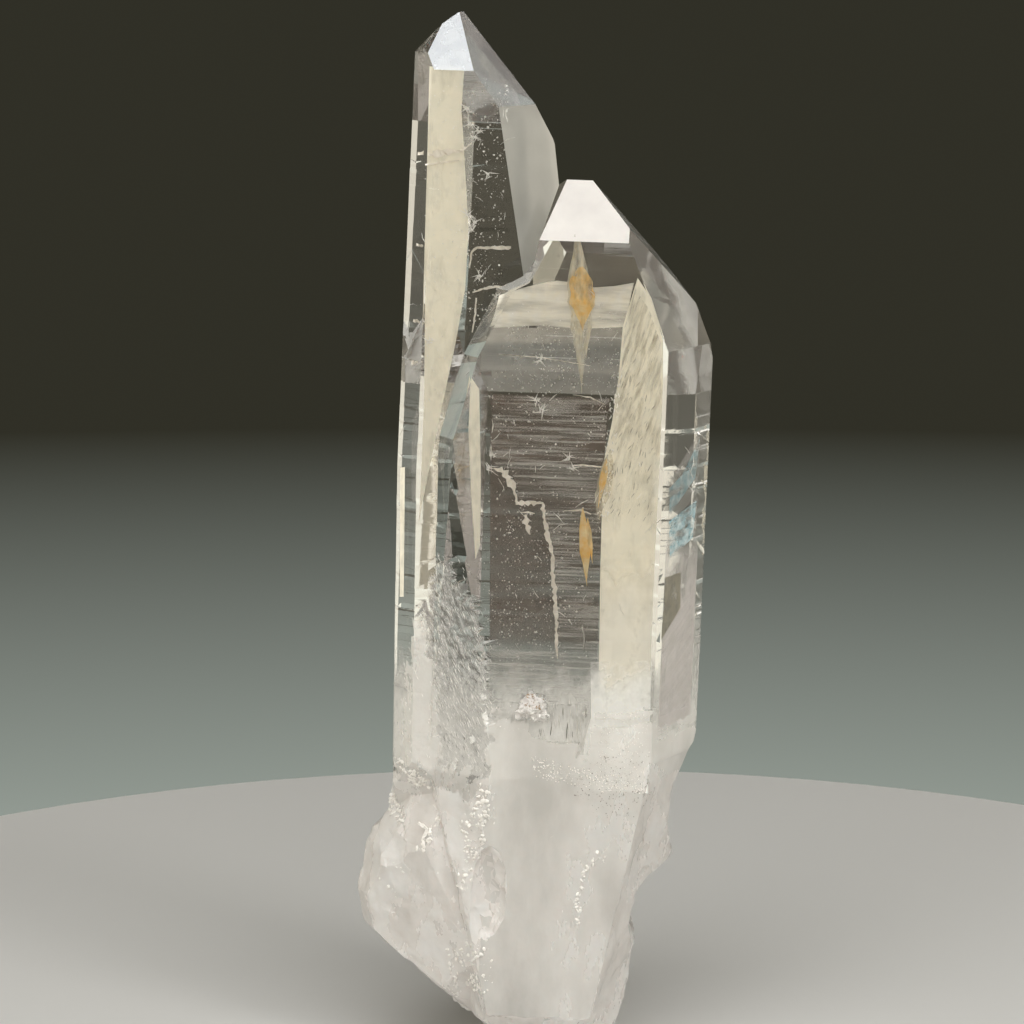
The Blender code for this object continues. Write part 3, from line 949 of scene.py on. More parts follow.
class Inner(Enum):
    """The finishes of what lies inside the stone."""

    HEALED_CRACK = InclusionFinish(
        "healed_crack", (0.99, 0.94, 0.86), (0.93, 0.86, 0.76), 0.35, 1.0, cover=(0.12, 0.30)
    )
    IRON_GOLD = InclusionFinish(
        "iron_gold", (0.93, 0.55, 0.12), (0.97, 0.79, 0.46), 0.35, 1.6, (1.0, 1.0, 3.0), cover=(0.22, 0.50),
        opacity=0.93,
    )
    PALE_GOLD = InclusionFinish(
        "pale_gold", (0.88, 0.78, 0.56), (0.96, 0.92, 0.80), 0.4, 0.8, (1.0, 1.0, 6.0), cover=(0.28, 0.70),
        opacity=0.72,
    )
    # white flecks of real feathers; the same finish makes the painted glints on the etched flank
    FEATHER = InclusionFinish("white_feather_and_painted_glint", (0.99, 0.97, 0.93), (0.92, 0.90, 0.87), 0.3, 0.8)
    # painted reflection: cream sheets with a painted glow that stand in for the cream light the crystal's
    # faces mirror inside it
    PAINTED_CREAM_REFLECTION = InclusionFinish(
        "painted_cream_reflection", (0.99, 0.93, 0.78), (0.91, 0.87, 0.74), 0.45, 2.6, (1.0, 1.0, 2.6),
        cover=(0.05, 0.50), opacity=0.93, painted_glow=0.095,
    )
    # painted reflection: the paler lower end of the cream band, with a painted glow
    PAINTED_PALE_REFLECTION = InclusionFinish(
        "painted_pale_reflection", (0.98, 0.94, 0.84), (0.92, 0.89, 0.80), 0.45, 3.0, (1.0, 1.0, 1.6), cover=(0.05, 0.40),
        opacity=0.85, fade=(82.0, 70.0), painted_glow=0.11,
    )
    # painted shade: brown streaks that break the painted cream reflection with dark gaps
    PAINTED_STREAK_SHADE = InclusionFinish(
        "painted_dark_streaks", (0.46, 0.40, 0.29), (0.70, 0.64, 0.51), 0.5, 0.6, (1.0, 1.0, 7.0), 16.0,
        cover=(0.46, 0.80), opacity=0.52, fade=(82.0, 104.0),
    )
    # milk mist: its colour is the milk's own, and its emission is a painted glow
    MIST = InclusionFinish(
        "milk_mist", (0.95, 0.94, 0.90), (0.99, 0.98, 0.95), 0.5, 3.2, (1.0, 1.0, 1.5), cover=(0.06, 0.40),
        opacity=0.97, fade=(61.5, 50.5), fade_waver=16.0, painted_glow=0.10,
    )
    # thin cream veil; its emission is a painted glow
    THIN_VEIL = InclusionFinish(
        "thin_veil", (0.98, 0.92, 0.78), (0.99, 0.96, 0.88), 0.5, 1.6, (7.0, 2.0, 1.0), cover=(0.22, 0.60),
        opacity=0.75, painted_glow=0.08,
    )
    # white cloud: its colour is the milk's own, and its emission is a painted glow
    CLOUD = InclusionFinish(
        "white_cloud", (0.98, 0.98, 0.94), (0.99, 0.98, 0.95), 0.5, 2.2, (1.0, 1.0, 1.2),
        cover=(0.08, 0.42), opacity=0.95, fade=(65.0, 58.0), fade_waver=10.0, painted_glow=0.13,
    )
    # painted reflection: a pinkish sheet with a painted glow that stands in for pink light mirrored in the
    # right face
    PAINTED_ROSE_REFLECTION = InclusionFinish(
        "painted_rose_reflection", (0.93, 0.88, 0.87), (0.80, 0.76, 0.73), 0.45, 2.4, (1.0, 1.0, 2.2), 20.0,
        cover=(0.05, 0.45), opacity=0.80, fade=(84.0, 72.0), painted_glow=0.05,
    )
    OLIVE_PATCH = InclusionFinish(
        "olive_patch", (0.36, 0.32, 0.22), (0.52, 0.47, 0.34), 0.5, 2.0, (1.0, 1.0, 2.0),
        cover=(0.20, 0.50), opacity=0.85,
    )
    # painted shade: a dark brown sheet that darkens the window, standing in for the dark room seen through
    # the crystal
    SMOKE = InclusionFinish(
        "painted_window_shade", (0.17, 0.12, 0.095), (0.25, 0.20, 0.165), 0.6, 2.2, (7.0, 1.0, 1.0),
        cover=(0.12, 0.62), opacity=0.66, fade=(59.0, 70.0), fade_waver=8.0,
    )
    LINE_VEIL = InclusionFinish(
        "line_veil", (0.92, 0.89, 0.84), (0.98, 0.96, 0.92), 0.5, 0.32, (30.0, 2.0, 1.0),
        cover=(0.46, 0.76), opacity=0.50,
    )
    SLANT_VEIL = InclusionFinish(
        "slanting_veil", (0.94, 0.89, 0.88), (0.98, 0.95, 0.93), 0.4, 0.9, (1.0, 12.0, 16.0), 42.0,
        cover=(0.35, 0.85), opacity=0.40,
    )
    DIRT = InclusionFinish("seam_dirt", (0.22, 0.13, 0.07), (0.46, 0.34, 0.22), 0.8, 0.7)
    # thin crack films whose teal colour paints the teal glints of the right face
    TEAL_PAINTED_GLINT = InclusionFinish(
        "teal_painted_glint", (0.22, 0.50, 0.60), (0.78, 0.87, 0.89), 0.15, 1.5, (2.2, 4.0, 1.0), -28.0,
        cover=(0.34, 0.62), opacity=0.85,
    )
    # dark flakes: painted shade on the etched flank and in the cream band, and dark specks in the sugary
    # root and the brush
    SHADE = InclusionFinish("dark_specks_and_painted_shade", (0.10, 0.085, 0.06), (0.20, 0.17, 0.14), 0.5, 0.6)


def stone_piece(name: str, bm: bmesh.types.BMesh, material: bpy.types.Material) -> bpy.types.Object:
    """Makes an object of a mesh in the stone's frame.

    Args:
        name: the object's name.
        bm: its mesh, in millimetres, which is freed.
        material: its finish.

    Returns:
        The object, at the origin with its place in its mesh.
    """
    bmesh.ops.transform(bm, matrix=TO_WORLD, verts=bm.verts)
    mesh = bpy.data.meshes.new(name)
    bm.to_mesh(mesh)
    bm.free()
    mesh.materials.append(material)
    made = bpy.data.objects.new(name, mesh)
    bpy.context.collection.objects.link(made)
    return made


@dataclass(frozen=True)
class CrackLine:
    """A thin healed crack seen edge on: points as (x, z, width), at one depth."""

    points: Sequence[Point]
    y: float
    depth: float = 0.5
    ragged: float = 0.5  # how far its edges wander, as a share of its width
    step: float = 0.45  # how far apart the points are that its mesh is made of
    twist: float = 0.15  # how far one edge may stand in front of the other

    def samples(self) -> list[tuple[Vector, float]]:
        """Points at even steps along the line, with the width at each."""
        found: list[tuple[Vector, float]] = []
        for (x0, z0, w0), (x1, z1, w1) in zip(self.points, self.points[1:]):
            count = max(1, round(math.hypot(x1 - x0, z1 - z0) / self.step))
            for i in range(count):
                share = i / count
                at = Vector((x0 + (x1 - x0) * share, self.y, z0 + (z1 - z0) * share))
                found.append((at, w0 + (w1 - w0) * share))
        x, z, width = self.points[-1]
        found.append((Vector((x, self.y, z)), width))
        return found

    def add_to(self, bm: bmesh.types.BMesh, rng: random.Random) -> None:
        """Adds the crack to a mesh as a closed ragged band.

        Args:
            bm: the mesh.
            rng: the source of its raggedness.
        """
        samples = self.samples()
        rings = []
        for i, (at, width) in enumerate(samples):
            ahead = samples[min(i + 1, len(samples) - 1)][0]
            behind = samples[max(i - 1, 0)][0]
            along = (ahead - behind).normalized()
            side = Vector((along.z, 0, -along.x))
            left = side * (-0.5 * width * (1 + self.ragged * rng.uniform(-1, 1)))
            right = side * (0.5 * width * (1 + self.ragged * rng.uniform(-1, 1)))
            sink = Vector((0, self.depth * rng.uniform(0.7, 1.3), 0))
            rise = Vector((0, self.twist * rng.uniform(-1, 1), 0))
            corners = (at + left + rise, at + right - rise, at + right + sink, at + left + sink)
            rings.append([bm.verts.new(corner) for corner in corners])
        close_rings(bm, rings)


def close_rings(bm: bmesh.types.BMesh, rings: Sequence[Sequence[bmesh.types.BMVert]]) -> None:
    """Joins rings of points into one closed shape, its faces outward.

    Args:
        bm: the mesh.
        rings: rings of the same number of points, in order.
    """
    made = []
    sides = len(rings[0])
    for first, second in zip(rings, rings[1:]):
        for i in range(sides):
            j = (i + 1) % sides
            made.append(bm.faces.new((first[i], first[j], second[j], second[i])))
    made.append(bm.faces.new(tuple(reversed(rings[0]))))
    made.append(bm.faces.new(tuple(rings[-1])))
    bmesh.ops.recalc_face_normals(bm, faces=made)


@dataclass(frozen=True)
class HairZone:
    """A part of the stone with short hair lines in it."""

    count: int
    across: tuple[float, float]
    up: tuple[float, float]
    y: float
    longest: float

    def hairs(self, rng: random.Random) -> list[CrackLine]:
        """Draws the zone's hair lines by chance.

        Args:
            rng: the source of their places, angles and lengths.

        Returns:
            The hair lines, each with a bend in its middle.
        """
        found = []
        for _ in range(self.count):
            x, z = rng.uniform(*self.across), rng.uniform(*self.up)
            turn = math.radians(rng.uniform(35, 150))
            length = self.longest * rng.uniform(0.3, 1.0)
            bend = turn + rng.uniform(-0.5, 0.5)
            middle = (x + math.cos(turn) * length / 2, z + math.sin(turn) * length / 2)
            tip = (middle[0] + math.cos(bend) * length / 2, middle[1] + math.sin(bend) * length / 2)
            found.append(CrackLine(((x, z, 0.05), (*middle, 0.11), (*tip, 0.03)), self.y, 0.1))
        return found


@dataclass
class Cracks:
    """Healed cracks and thin lines: the stair, the step lines, the seam and the hair lines."""

    stair: Sequence[CrackLine] = (
        CrackLine(((-12.3, 93.4, 0.3), (-11.7, 93.3, 0.8), (-10.6, 92.8, 0.9), (-10.2, 91.6, 0.9),
                   (-9.4, 90.9, 0.7), (-8.9, 89.4, 0.4), (-8.7, 88.2, 0.35)), -20.45, 0.5, 0.8),
        CrackLine(((-8.9, 88.3, 0.45), (-6.6, 88.5, 0.7), (-4.9, 88.4, 0.6), (-4.6, 86.8, 0.4),
                   (-4.0, 83.4, 0.55), (-3.2, 80.8, 0.45), (-2.9, 77.4, 0.65), (-2.5, 74.6, 0.6),
                   (-2.2, 70.7, 0.5), (-2.0, 67.0, 0.35), (-1.8, 64.8, 0.12)), -20.45, 0.5, 0.75),
        CrackLine(((-7.4, 86.6, 0.3), (-7.3, 85.6, 0.75), (-6.9, 84.6, 0.6), (-6.6, 83.6, 0.15)),
                  -20.3, 0.4, 0.8),
        CrackLine(((-8.2, 86.9, 0.1), (-7.0, 87.0, 0.2), (-6.0, 86.8, 0.1)), -20.3, 0.2),
    )
    steps: Sequence[CrackLine] = (
        CrackLine(((-25.2, 139.4, 0.5), (-24.2, 139.4, 0.7)), -15.2, 0.2),
        CrackLine(((-23.6, 139.4, 0.5), (-22.5, 139.5, 0.8), (-20.8, 139.9, 0.7), (-18.6, 140.2, 0.5),
                   (-17.2, 141.3, 0.15)), -16.85, 0.3, 0.8),
        CrackLine(((-24.0, 137.9, 0.2), (-21.0, 138.4, 0.35), (-19.0, 138.7, 0.15)), -16.85, 0.2),
        CrackLine(((-17.0, 122.8, 0.25), (-16.7, 125.2, 0.35), (-15.9, 125.9, 0.4), (-13.0, 126.0, 0.5),
                   (-10.9, 126.1, 0.55)), -16.65, 0.2),
        CrackLine(((-16.4, 119.2, 0.15), (-14.4, 119.9, 0.35), (-12.6, 120.2, 0.45), (-11.2, 120.0, 0.2)),
                  -16.6, 0.2),
        CrackLine(((-16.2, 113.2, 0.2), (-15.9, 116.0, 0.25), (-15.8, 118.4, 0.2)), -16.6, 0.2),
        CrackLine(((-25.0, 125.8, 0.3), (-23.3, 125.7, 0.3)), -15.0, 0.2),
        CrackLine(((-25.1, 114.5, 0.5), (-23.4, 114.3, 0.4)), -15.0, 0.2),
        CrackLine(((-25.2, 108.1, 0.5), (-23.5, 108.3, 0.3)), -15.0, 0.2),
        CrackLine(((-12.2, 110.6, 0.05), (-6.0, 110.3, 0.12), (1.5, 109.3, 0.05)), -20.3, 0.1),
        CrackLine(((-1.0, 104.9, 0.05), (1.6, 104.6, 0.22), (3.8, 103.6, 0.06)), -20.4, 0.15),
        CrackLine(((-0.6, 94.3, 0.08), (1.0, 94.4, 0.3), (3.9, 94.2, 0.1)), -20.4, 0.15),
        CrackLine(((-1.6, 87.4, 0.05), (0.8, 87.5, 0.35), (2.4, 87.0, 0.1)), -20.2, 0.15),
    )
    seam: Sequence[CrackLine] = (
        CrackLine(((6.6, 35.3, 0.3), (4.7, 33.2, 0.5), (3.1, 30.2, 0.6), (2.6, 27.0, 0.5),
                   (2.9, 23.4, 0.2)), -20.1, 1.2),
        CrackLine(((-22.0, 37.6, 0.3), (-20.6, 36.6, 0.5), (-21.3, 34.9, 0.4), (-19.1, 32.5, 0.3)), -16.6),
    )
    hair_zones: Sequence[HairZone] = (
        HairZone(16, (-9, 3), (66, 92), -20.45, 2.6), HairZone(12, (-17, -12), (112, 146), -16.7, 2.6),
        HairZone(9, (13, 19), (78, 96), -13.5, 3.0), HairZone(14, (-10, 10), (92, 121), -20.5, 1.8),
        HairZone(14, (-14, -10), (90, 99), -20.55, 2.2), HairZone(6, (5, 12), (62, 96), -20.6, 2.4),
        HairZone(5, (-24, -19), (100, 146), -17.0, 1.6),
    )

    def hair_lines(self) -> list[CrackLine]:
        """Short straight scratches and hairs at chosen places, their angles by chance."""
        rng = random.Random(5)
        return [line for zone in self.hair_zones for line in zone.hairs(rng)]

    def build(self, effects: Effects) -> list[bpy.types.Object]:
        """Builds the cracks.

        Args:
            effects: the shared node groups.

        Returns:
            The finished objects.
        """
        healed = Inner.HEALED_CRACK.value.build(effects)
        feather = Inner.FEATHER.value.build(effects)
        made = []
        for name, lines, finish in (
            ("stair_crack", self.stair, healed), ("step_lines", self.steps, healed),
            ("root_seams", self.seam, feather), ("hair_lines", self.hair_lines(), feather),
        ):
            bm = bmesh.new()
            rng = random.Random(len(lines))
            for line in lines:
                line.add_to(bm, rng)
            made.append(stone_piece(name, bm, finish))
        return made


@dataclass(frozen=True)
class Spindle:
    """A long flattened body, pointed at both ends, widest at its belt."""

    top: tuple[float, float]
    bottom: tuple[float, float]
    half_width: float
    belt: tuple[float, float]  # where it is widest, as shares of the way down
    y: float
    flatness: float = 0.3
    sides: int = 10
    steps: int = 22
    least_width: float = 0.04
    wander: float = 0.18  # how far its surface wanders, as a share of its width

    def width_at(self, share: float) -> float:
        """Half its width at a share of the way down."""
        first, last = self.belt
        if share < first:
            return self.half_width * (share / first) ** 0.8
        if share > last:
            return self.half_width * ((1 - share) / (1 - last)) ** 1.3
        return self.half_width

    def add_to(self, bm: bmesh.types.BMesh) -> None:
        """Adds the spindle to a mesh."""
        rings = []
        for i in range(self.steps + 1):
            share = 0.01 + 0.98 * i / self.steps
            x = self.top[0] + (self.bottom[0] - self.top[0]) * share
            z = self.top[1] + (self.bottom[1] - self.top[1]) * share
            width = max(self.least_width, self.width_at(share))
            ring = []
            for k in range(self.sides):
                turn = 2 * math.pi * k / self.sides
                depth = width * self.flatness
                at = Vector((x + width * math.cos(turn), self.y + depth * math.sin(turn), z))
                at += self.wander * width * noise.noise_vector(at * 0.7)
                ring.append(bm.verts.new(at))
            rings.append(ring)
        close_rings(bm, rings)


@dataclass
class IronStains:
    """The golden spindle and the two rusty streaks under it."""

    heart: Spindle = Spindle((-0.5, 124.2), (0.1, 114.4), 1.75, (0.25, 0.60), -20.2, 0.12)
    tails: Sequence[Spindle] = (
        Spindle((-1.1, 128.6), (-0.3, 112.0), 1.65, (0.42, 0.60), -20.05, 0.1),
        Spindle((-1.6, 128.8), (-1.2, 119.0), 0.35, (0.4, 0.6), -20.3, 0.2),
        Spindle((-0.3, 118.6), (0.3, 105.0), 1.55, (0.12, 0.28), -20.05, 0.1),
        Spindle((4.9, 97.0), (3.3, 85.0), 1.1, (0.3, 0.6), -20.3, 0.12),
    )
    streaks: Sequence[Spindle] = (
        Spindle((1.1, 88.0), (2.2, 76.0), 0.75, (0.3, 0.6), -20.3, 0.2),
        Spindle((1.9, 86.5), (2.9, 79.5), 0.35, (0.3, 0.6), -20.4, 0.2),
        Spindle((4.4, 95.6), (3.4, 88.0), 0.55, (0.3, 0.5), -20.45, 0.2),
    )

    def build(self, effects: Effects) -> list[bpy.types.Object]:
        """Builds the stains.

        Args:
            effects: the shared node groups.

        Returns:
            The finished objects.
        """
        made = []
        for name, bodies, finish in (
            ("golden_spindle", (self.heart, *self.streaks), Inner.IRON_GOLD),
            ("pale_spindle_tails", self.tails, Inner.PALE_GOLD),
        ):
            bm = bmesh.new()
            for body in bodies:
                body.add_to(bm)
            made.append(stone_piece(name, bm, finish.value.build(effects)))
        return made


@dataclass(frozen=True)
class Veil:
    """A thin upright sheet inside the stone. Most are old healed planes that show pale; the cream, pale,
    rose, streaked, dark and teal ones carry painted reflections, painted shade and painted glints.
    """

    name: str
    outline: Sequence[tuple[float, float]]  # corners as (x, z)
    y: float
    finish: Inner
    turn: float = 0.0  # how far back it goes for each millimetre to the right
    cell: float = 1.1
    thickness: float = 0.06
    waver: float = 0.12

    def build(self, effects: Effects) -> bpy.types.Object:
        """Builds the veil.

        Args:
            effects: the shared node groups.

        Returns:
            The finished object.
        """
        start = self.outline[0][0]
        bm = bmesh.new()
        bm.faces.new([bm.verts.new((x, 0.0, z)) for x, z in self.outline])
        for axis in (0, 2):
            values = [vert.co[axis] for vert in bm.verts]
            normal = Vector((1.0, 0.0, 0.0)) if axis == 0 else Vector((0.0, 0.0, 1.0))
            at = min(values) + self.cell
            while at < max(values):
                slice_at(bm, normal * at, normal)
                at += self.cell
        for vert in bm.verts:
            sway = self.waver * noise.noise(Vector((vert.co.x * 0.4, 0.0, vert.co.z * 0.2)))
            vert.co.y = self.y + self.turn * (vert.co.x - start) + sway
        bmesh.ops.recalc_face_normals(bm, faces=bm.faces)
        bmesh.ops.solidify(bm, geom=bm.faces[:], thickness=self.thickness)
        return stone_piece(self.name, bm, self.finish.value.build(effects))


RIGHT_FACE_TURN = 1.753  # how far back the broad crystal's right front face goes for each mm to the right

VEILS: Sequence[Veil] = (
    # cream sheets of painted reflection in the tall crystal and at its left, standing in for mirrored cream
    # light
    Veil("tall_painted_reflection", (
        (-23.8, 152.3), (-18.7, 152.3), (-18.9, 146.1), (-18.2, 138.8), (-17.3, 128.5), (-17.5, 119.6),
        (-18.7, 111.3), (-20.2, 103.0), (-21.5, 95.4), (-22.8, 87.7), (-23.3, 84.0), (-23.2, 90.7),
        (-23.1, 102.9), (-23.4, 117.9), (-23.7, 132.7)), -16.5, Inner.PAINTED_CREAM_REFLECTION),
    Veil("tall_edge_painted_reflection", ((-26.4, 92.1), (-25.7, 92.2), (-25.3, 72.3), (-25.9, 72.3)), -14.6,
         Inner.PAINTED_CREAM_REFLECTION),
    Veil("left_painted_reflection", (
        (-16.2, 107.0), (-14.9, 105.2), (-14.2, 91.7), (-14.0, 81.8), (-14.6, 79.5), (-15.5, 88.6),
        (-16.3, 99.1)), -19.6, Inner.PAINTED_CREAM_REFLECTION),
    # cream sheet of painted reflection in the broad crystal, standing in for mirrored cream light
    Veil("right_painted_reflection", (
        (7.9, 122.6), (10.0, 119.7), (12.0, 113.6), (12.3, 107.6), (12.3, 94.1), (12.2, 80.5), (12.2, 68.2),
        (12.3, 54.0), (5.2, 54.0), (4.5, 63.4), (4.1, 80.2), (3.9, 94.3), (5.0, 101.2), (5.7, 108.1),
        (6.0, 115.3)), -20.2, Inner.PAINTED_CREAM_REFLECTION),
    Veil("upper_veil", (
        (-12.4, 119.2), (-9.2, 120.4), (-6.5, 121.2), (-4.0, 121.7), (-1.0, 121.5), (1.5, 120.9),
        (4.5, 121.2), (7.4, 121.8), (6.2, 115.2), (0.0, 114.7), (-6.0, 115.0), (-13.4, 114.4)),
         -19.4, Inner.THIN_VEIL),
    Veil("right_face_veil", ((13.9, 92.0), (18.6, 99.0), (18.6, 56.0), (13.9, 56.0)), -18.6,
         Inner.SLANT_VEIL, RIGHT_FACE_TURN),
    # pinkish sheet of painted reflection behind the right face
    Veil("right_painted_rose_reflection", ((13.7, 84.0), (19.0, 84.0), (19.0, 54.0), (13.7, 54.0)), -18.9,
         Inner.PAINTED_ROSE_REFLECTION, RIGHT_FACE_TURN),
    Veil("right_olive_patch", ((13.8, 77.5), (16.4, 77.5), (16.6, 72.0), (13.7, 68.0)), -19.05,
         Inner.OLIVE_PATCH, RIGHT_FACE_TURN),
    # dark sheet of painted shade behind the window
    Veil("window_painted_shade", ((-13.2, 104.2), (4.8, 104.2), (4.0, 94.0), (4.3, 58.0), (-11.8, 58.0)), -16.5,
         Inner.SMOKE),
    Veil("left_bevel_veil", ((-15.6, 108.5), (-17.2, 109.8), (-21.4, 98.5), (-21.0, 86.0), (-17.2, 94.0)),
         -18.4, Inner.SLANT_VEIL, -RIGHT_FACE_TURN),
    # brown streaks of painted shade over the painted cream reflection
    Veil("right_painted_streaks", (
        (7.6, 121.0), (9.8, 118.0), (11.9, 112.6), (12.2, 100.0), (12.1, 86.0), (4.4, 86.0), (4.3, 94.3),
        (5.3, 101.2), (6.0, 108.1), (6.3, 115.3)), -20.45, Inner.PAINTED_STREAK_SHADE),
    # paler lower end of the painted cream reflection
    Veil("right_painted_pale_reflection", ((4.1, 84.0), (12.2, 84.0), (12.2, 54.0), (5.2, 54.0), (4.6, 62.0)), -20.35,
         Inner.PAINTED_PALE_REFLECTION),
    Veil("right_cloud", ((3.2, 64.5), (12.4, 65.0), (12.6, 44.5), (1.0, 44.5), (3.6, 56.0)), -20.5,
         Inner.CLOUD),
    Veil("window_side_lines", (
        (-12.8, 104.3), (4.4, 104.5), (3.8, 94.0), (4.2, 68.0), (-2.3, 68.0), (-2.9, 76.0), (-3.8, 84.0),
        (-5.0, 88.2), (-8.4, 89.0), (-9.4, 92.4), (-12.8, 94.6)), -20.0, Inner.LINE_VEIL),
    Veil("dense_lines", ((-12.4, 67.0), (-3.0, 66.0), (4.4, 68.0), (4.4, 52.0), (-11.8, 52.0)), -20.1,
         Inner.LINE_VEIL),
    # teal films: painted glints on thin cracks behind the right face
    Veil("teal_upper_painted_glint", ((13.9, 91.0), (16.0, 92.6), (18.6, 97.4), (18.2, 91.6), (14.2, 86.9)), -18.9,
         Inner.TEAL_PAINTED_GLINT, RIGHT_FACE_TURN),
    Veil("teal_lower_painted_glint", ((14.2, 86.0), (18.6, 88.0), (18.2, 82.4), (14.6, 80.2)), -18.9,
         Inner.TEAL_PAINTED_GLINT, RIGHT_FACE_TURN),
)


def thicken(bm: bmesh.types.BMesh, thickness: float) -> None:
    """Gives a sheet a back of its own and closes its rim.

    Args:
        bm: the mesh, which holds the sheet alone.
        thickness: how far behind the sheet its back lies.
    """
    rim = []
    for edge in bm.edges:
        if edge.is_boundary:
            loop = edge.link_loops[0]
            rim.append((loop.vert, loop.link_loop_next.vert))
    fronts = bm.faces[:]
    backs = {vert: bm.verts.new(vert.co - vert.normal * thickness) for vert in bm.verts[:]}
    for face in fronts:
        bm.faces.new([backs[vert] for vert in reversed(face.verts)])
    for first, second in rim:
        bm.faces.new((second, first, backs[first], backs[second]))


@dataclass(frozen=True)
class Mist:
    """The soft upper end of the milk, a thin sheet just under the skin all round the stone."""

    name: str = "milk_mist"
    low: float = 46.0
    high: float = 71.0
    sink: float = 0.4  # how far under the skin it lies
    thickness: float = 0.05

    def build(self, skin: bpy.types.Object, effects: Effects) -> bpy.types.Object:
        """Builds the sheet.

        Args:
            skin: the stone's finished skin.
            effects: the shared node groups.

        Returns:
            The finished object.
        """
        bm = bmesh.new()
        bm.from_mesh(skin.data)
        bmesh.ops.transform(bm, matrix=TO_STONE, verts=bm.verts)
        outer = [face for face in bm.faces if not self.low < face.calc_center_median().z < self.high]
        bmesh.ops.delete(bm, geom=outer, context="FACES")
        for face in bm.faces:
            face.material_index = 0
            face.smooth = True
        bm.normal_update()
        for vert in bm.verts:
            vert.co -= vert.normal * self.sink
        thicken(bm, self.thickness)
        return stone_piece(self.name, bm, Inner.MIST.value.build(effects))


class SkinFront:
    """The skin's front, from which patches are taken as sheets of their own."""

    def __init__(self, skin: bpy.types.Object) -> None:
        """Reads the skin's points and faces in the stone's frame.

        Args:
            skin: the stone's skin.
        """
        self.mesh = skin.data
        count = len(self.mesh.polygons)
        centres, normals = np.empty(count * 3), np.empty(count * 3)
        self.mesh.polygons.foreach_get("center", centres)
        self.mesh.polygons.foreach_get("normal", normals)
        turn = np.array(TO_STONE.to_3x3())
        self.centres = centres.reshape(-1, 3) @ turn.T
        self.facing_front = normals.reshape(-1, 3)[:, 1] < -0.15

    def patch(self, outline: Sequence[tuple[float, float]]) -> bmesh.types.BMesh:
        """The faces inside an outline, as a sheet.

        Args:
            outline: the patch's corners as (x, z).

        Returns:
            The sheet in the stone's frame.
        """
        chosen = np.nonzero(inside(outline, self.centres[:, 0], self.centres[:, 2]) & self.facing_front)[0]
        bm = bmesh.new()
        made: dict[int, bmesh.types.BMVert] = {}
        for number in chosen[np.argsort(self.centres[chosen] @ np.array(SORTING_WAY))]:
            ring = list(self.mesh.polygons[int(number)].vertices)
            along = [Vector(SORTING_WAY).dot(self.mesh.vertices[index].co) for index in ring]
            first = along.index(min(along))
            corners = []
            for index in ring[first:] + ring[:first]:
                if index not in made:
                    made[index] = bm.verts.new(TO_STONE @ self.mesh.vertices[index].co)
                corners.append(made[index])
            if not bm.faces.get(corners):
                bm.faces.new(corners)
        return bm


@dataclass
class FeatherStars:
    """Small white starbursts of fine cracks."""

    centres: Sequence[Point] = (
        (-6.1, -20.5, 110.0), (-6.4, -20.5, 103.8), (-5.6, -20.5, 102.4), (-1.3, -20.5, 95.3),
        (-0.6, -20.5, 93.8), (-17.6, -16.95, 144.3), (-16.2, -16.9, 143.0), (-16.9, -16.9, 142.2),
        (-17.0, -16.9, 128.6), (-17.3, -16.9, 130.8),
        (-16.4, -16.8, 129.4), (-15.4, -16.8, 121.6), (-12.7, -20.5, 95.4), (-13.2, -20.5, 93.4),
        (-18.0, -16.9, 146.2), (-14.6, -16.8, 136.8), (-22.4, -16.9, 111.8), (-12.3, -16.8, 118.4),
    )
    blades: int = 9
    reach: tuple[float, float] = (0.45, 1.6)
    width: float = 0.11
    spread: float = 0.3  # how far a blade starts from the star's middle
    back: float = 0.14  # how thick a blade is where it starts

    def build(self, effects: Effects) -> bpy.types.Object:
        """Builds the stars.

        Args:
            effects: the shared node groups.

        Returns:
            The finished object.
        """
        rng = random.Random(31)
        bm = bmesh.new()
        for centre in self.centres:
            for _ in range(self.blades):
                turn = rng.uniform(0, 2 * math.pi)
                reach = rng.uniform(*self.reach)
                along = Vector((math.cos(turn), rng.uniform(-0.2, 0.5), math.sin(turn)))
                side = Vector((-along.z, 0, along.x)) * self.width * rng.uniform(0.5, 1.4)
                at = Vector(centre) + self.spread * Vector((rng.uniform(-1, 1), 0, rng.uniform(-1, 1)))
                corners = (at - side, at + side, at + Vector((0, self.back, 0)), at + along * reach)
                low_left, low_right, back, tip = (bm.verts.new(corner) for corner in corners)
                made = [
                    bm.faces.new(face) for face in (
                        (low_left, low_right, tip), (low_right, back, tip),
                        (back, low_left, tip), (low_left, back, low_right),
                    )
                ]
                bmesh.ops.recalc_face_normals(bm, faces=made)
        return stone_piece("feather_stars", bm, Inner.FEATHER.value.build(effects))


